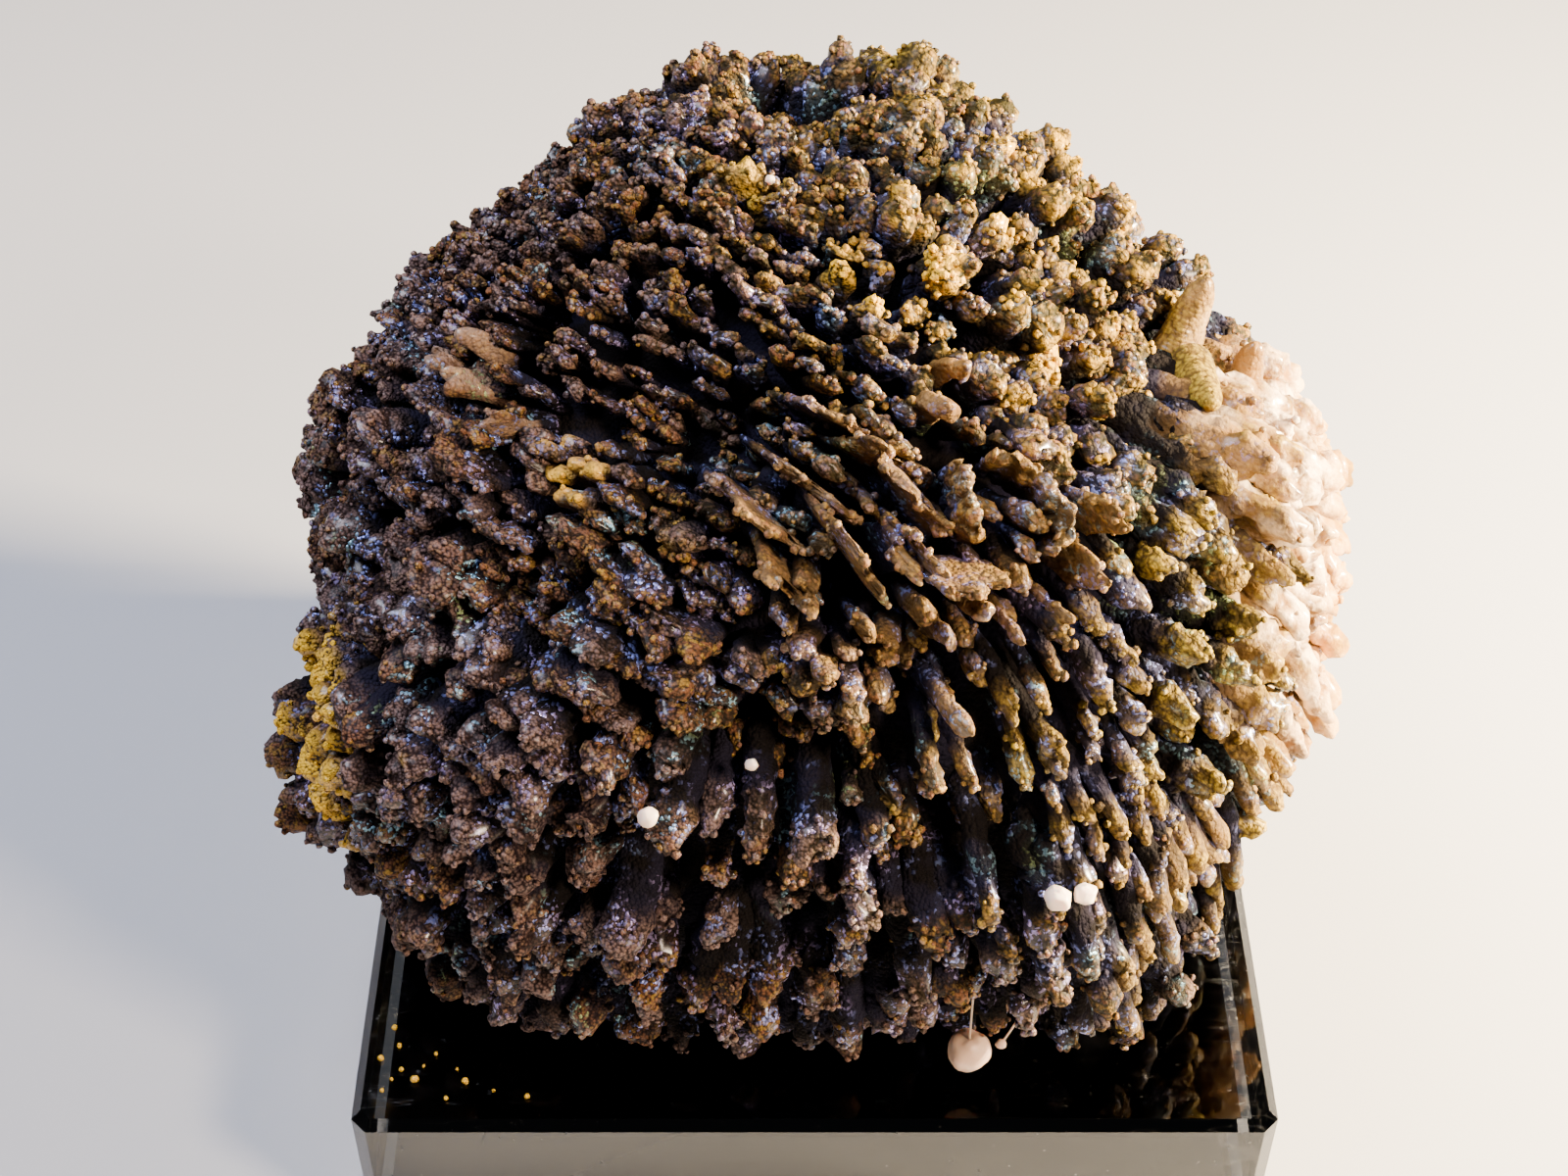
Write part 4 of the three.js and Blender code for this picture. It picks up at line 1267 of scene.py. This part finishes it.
# %% Acrylic
def wear_group():
    """Roughness of handled acrylic: scratches are thin bands of stretched noise, and dust is specks."""
    tree, given, result = new_group("wear", {"Place": PLACE}, {"Roughness": NUMBER})
    stretch = add_node(tree, "ShaderNodeMapping")
    tree.links.new(given.outputs["Place"], stretch.inputs["Vector"])
    stretch.inputs["Rotation"].default_value = (0.4, 0.3, 0.9)
    stretch.inputs["Scale"].default_value = (1, 16, 1)
    line = noise(tree, stretch.outputs["Vector"], 45, 2)
    near = sums(tree, "ABSOLUTE", sums(tree, "SUBTRACT", line, 0.5))
    scratch = one_minus(tree, ramp(tree, near, 0.0, 0.006))
    dust = ramp(tree, noise(tree, given.outputs["Place"], 1400, 2), 0.68, 0.74)
    smear = ramp(tree, noise(tree, given.outputs["Place"], 40, 3), 0.45, 0.8)
    rough = scaled(tree, scratch, 0.22, scaled(tree, smear, 0.05, 0.02))
    tree.links.new(scaled(tree, dust, 0.25, rough), result.inputs["Roughness"])
    return tree


def acrylic_material():
    """Clear acrylic: full transmission, its own index, and the wear's roughness."""
    material, tree, shader, place = new_material("clear_acrylic")
    wear = add_node(tree, "ShaderNodeGroup")
    wear.node_tree = wear_group()
    tree.links.new(place, wear.inputs["Place"])
    tree.links.new(wear.outputs["Roughness"], shader.inputs["Roughness"])
    shader.inputs["Base Color"].default_value = (0.97, 0.985, 0.99, 1)
    shader.inputs["Transmission Weight"].default_value = 1.0
    shader.inputs["IOR"].default_value = 1.49
    return material


acrylic = acrylic_material()
for material_slot in bpy.data.objects["acrylic_block"].material_slots:
    material_slot.material = acrylic

# %% [markdown]
# ## Crumbs
# Ochre crumbs have fallen on the block's top at the left. Each is a ball of rings pushed about by
# bubbles, so it looks broken, and lies on the block.

# %% Crumbs on the block's top
# Each row: across and back on the block's top, radius
CRUMBS = np.array([
    [-36.0, -31.5, 0.25], [-34.2, -32.6, 0.2], [-33.0, -33.6, 0.3], [-28.8, -33.8, 0.26],
    [-23.6, -35.2, 0.2], [-35.6, -34.6, 0.18], [-34.6, -30.2, 0.2], [-31.5, -31.0, 0.16],
    [-30.2, -35.4, 0.2], [-35.2, -28.4, 0.22], [-32.4, -32.2, 0.14], [-34.9, -33.5, 0.15],
    [-29.6, -32.5, 0.13], [-26.4, -34.6, 0.14],
])


def crumbs():
    """Small balls, each squeezed and swollen by bubbles and set down on the block."""
    rings = np.concatenate([ball(x, y, 0, r, 9, 11) for x, y, r in CRUMBS])
    middle = np.concatenate([CRUMBS[:, :2], np.zeros((len(CRUMBS), 1))], axis=1)[:, None, None]
    rings = middle + (rings - middle) * (0.75 + 0.5 * bubbles(rings, 0.5, 12))[..., None]
    lowest = rings[..., 2].min(axis=(1, 2))
    rings[..., 2] += (BLOCK_TOP + 0.02 - lowest)[:, None, None]
    return crust_piece("ochre_crumbs", rings, {"ochre": 1.0, "knob": 1.0})


crumbs()
print("triangles in all:", sum(MADE.values()))

# %% [markdown]
# ## Stage and light
# A plain pale floor, a warm light from the right, low enough to leave the left sides dark, a cool,
# weaker one from the upper left, and a faint warm one that reaches the foot of the face.

# %% Floor and lights
FLOOR_HALF = 3
AIMED_AT = np.array([0, 0, 0.045])


def floor():
    """A plain pale square under the block."""
    mesh = bpy.data.meshes.new("floor")
    corners = [(FLOOR_HALF * x, FLOOR_HALF * y, 0) for x, y in ((-1, -1), (1, -1), (1, 1), (-1, 1))]
    mesh.from_pydata(corners, [], [(0, 1, 2, 3)])
    material = bpy.data.materials.new("floor")
    material.use_nodes = True
    shader = material.node_tree.nodes["Principled BSDF"]
    shader.inputs["Base Color"].default_value = (0.40, 0.41, 0.43, 1)
    shader.inputs["Roughness"].default_value = 0.8
    mesh.materials.append(material)
    place_in_scene("floor", mesh)


def soft_light(name, place, size, power, tint):
    """An area light that faces the specimen."""
    lamp = bpy.data.lights.new(name, "AREA")
    lamp.size = size
    lamp.energy = power
    lamp.color = tint
    light = place_in_scene(name, lamp)
    place = np.array(place)
    light.location = place
    aim = unit(place - AIMED_AT)
    light.rotation_euler = (np.arccos(aim[2]), 0, np.arctan2(aim[1], aim[0]) + np.pi / 2)


floor()
soft_light("key", (0.25, 0.0, 0.125), 0.04, 12.5, (1.0, 0.78, 0.50))
soft_light("fill", (-0.16, 0.04, 0.42), 0.25, 3.9, (0.80, 0.83, 1.0))
soft_light("front", (0.22, -0.21, 0.30), 0.06, 3.2, (1.0, 0.78, 0.56))
world = bpy.data.worlds.new("studio")
world.use_nodes = True
background = world.node_tree.nodes["Background"]
background.inputs["Color"].default_value = (0.75, 0.80, 0.9, 1)
background.inputs["Strength"].default_value = 0.06
bpy.context.scene.world = world
print("lights:", [lamp.name for lamp in bpy.data.lights])
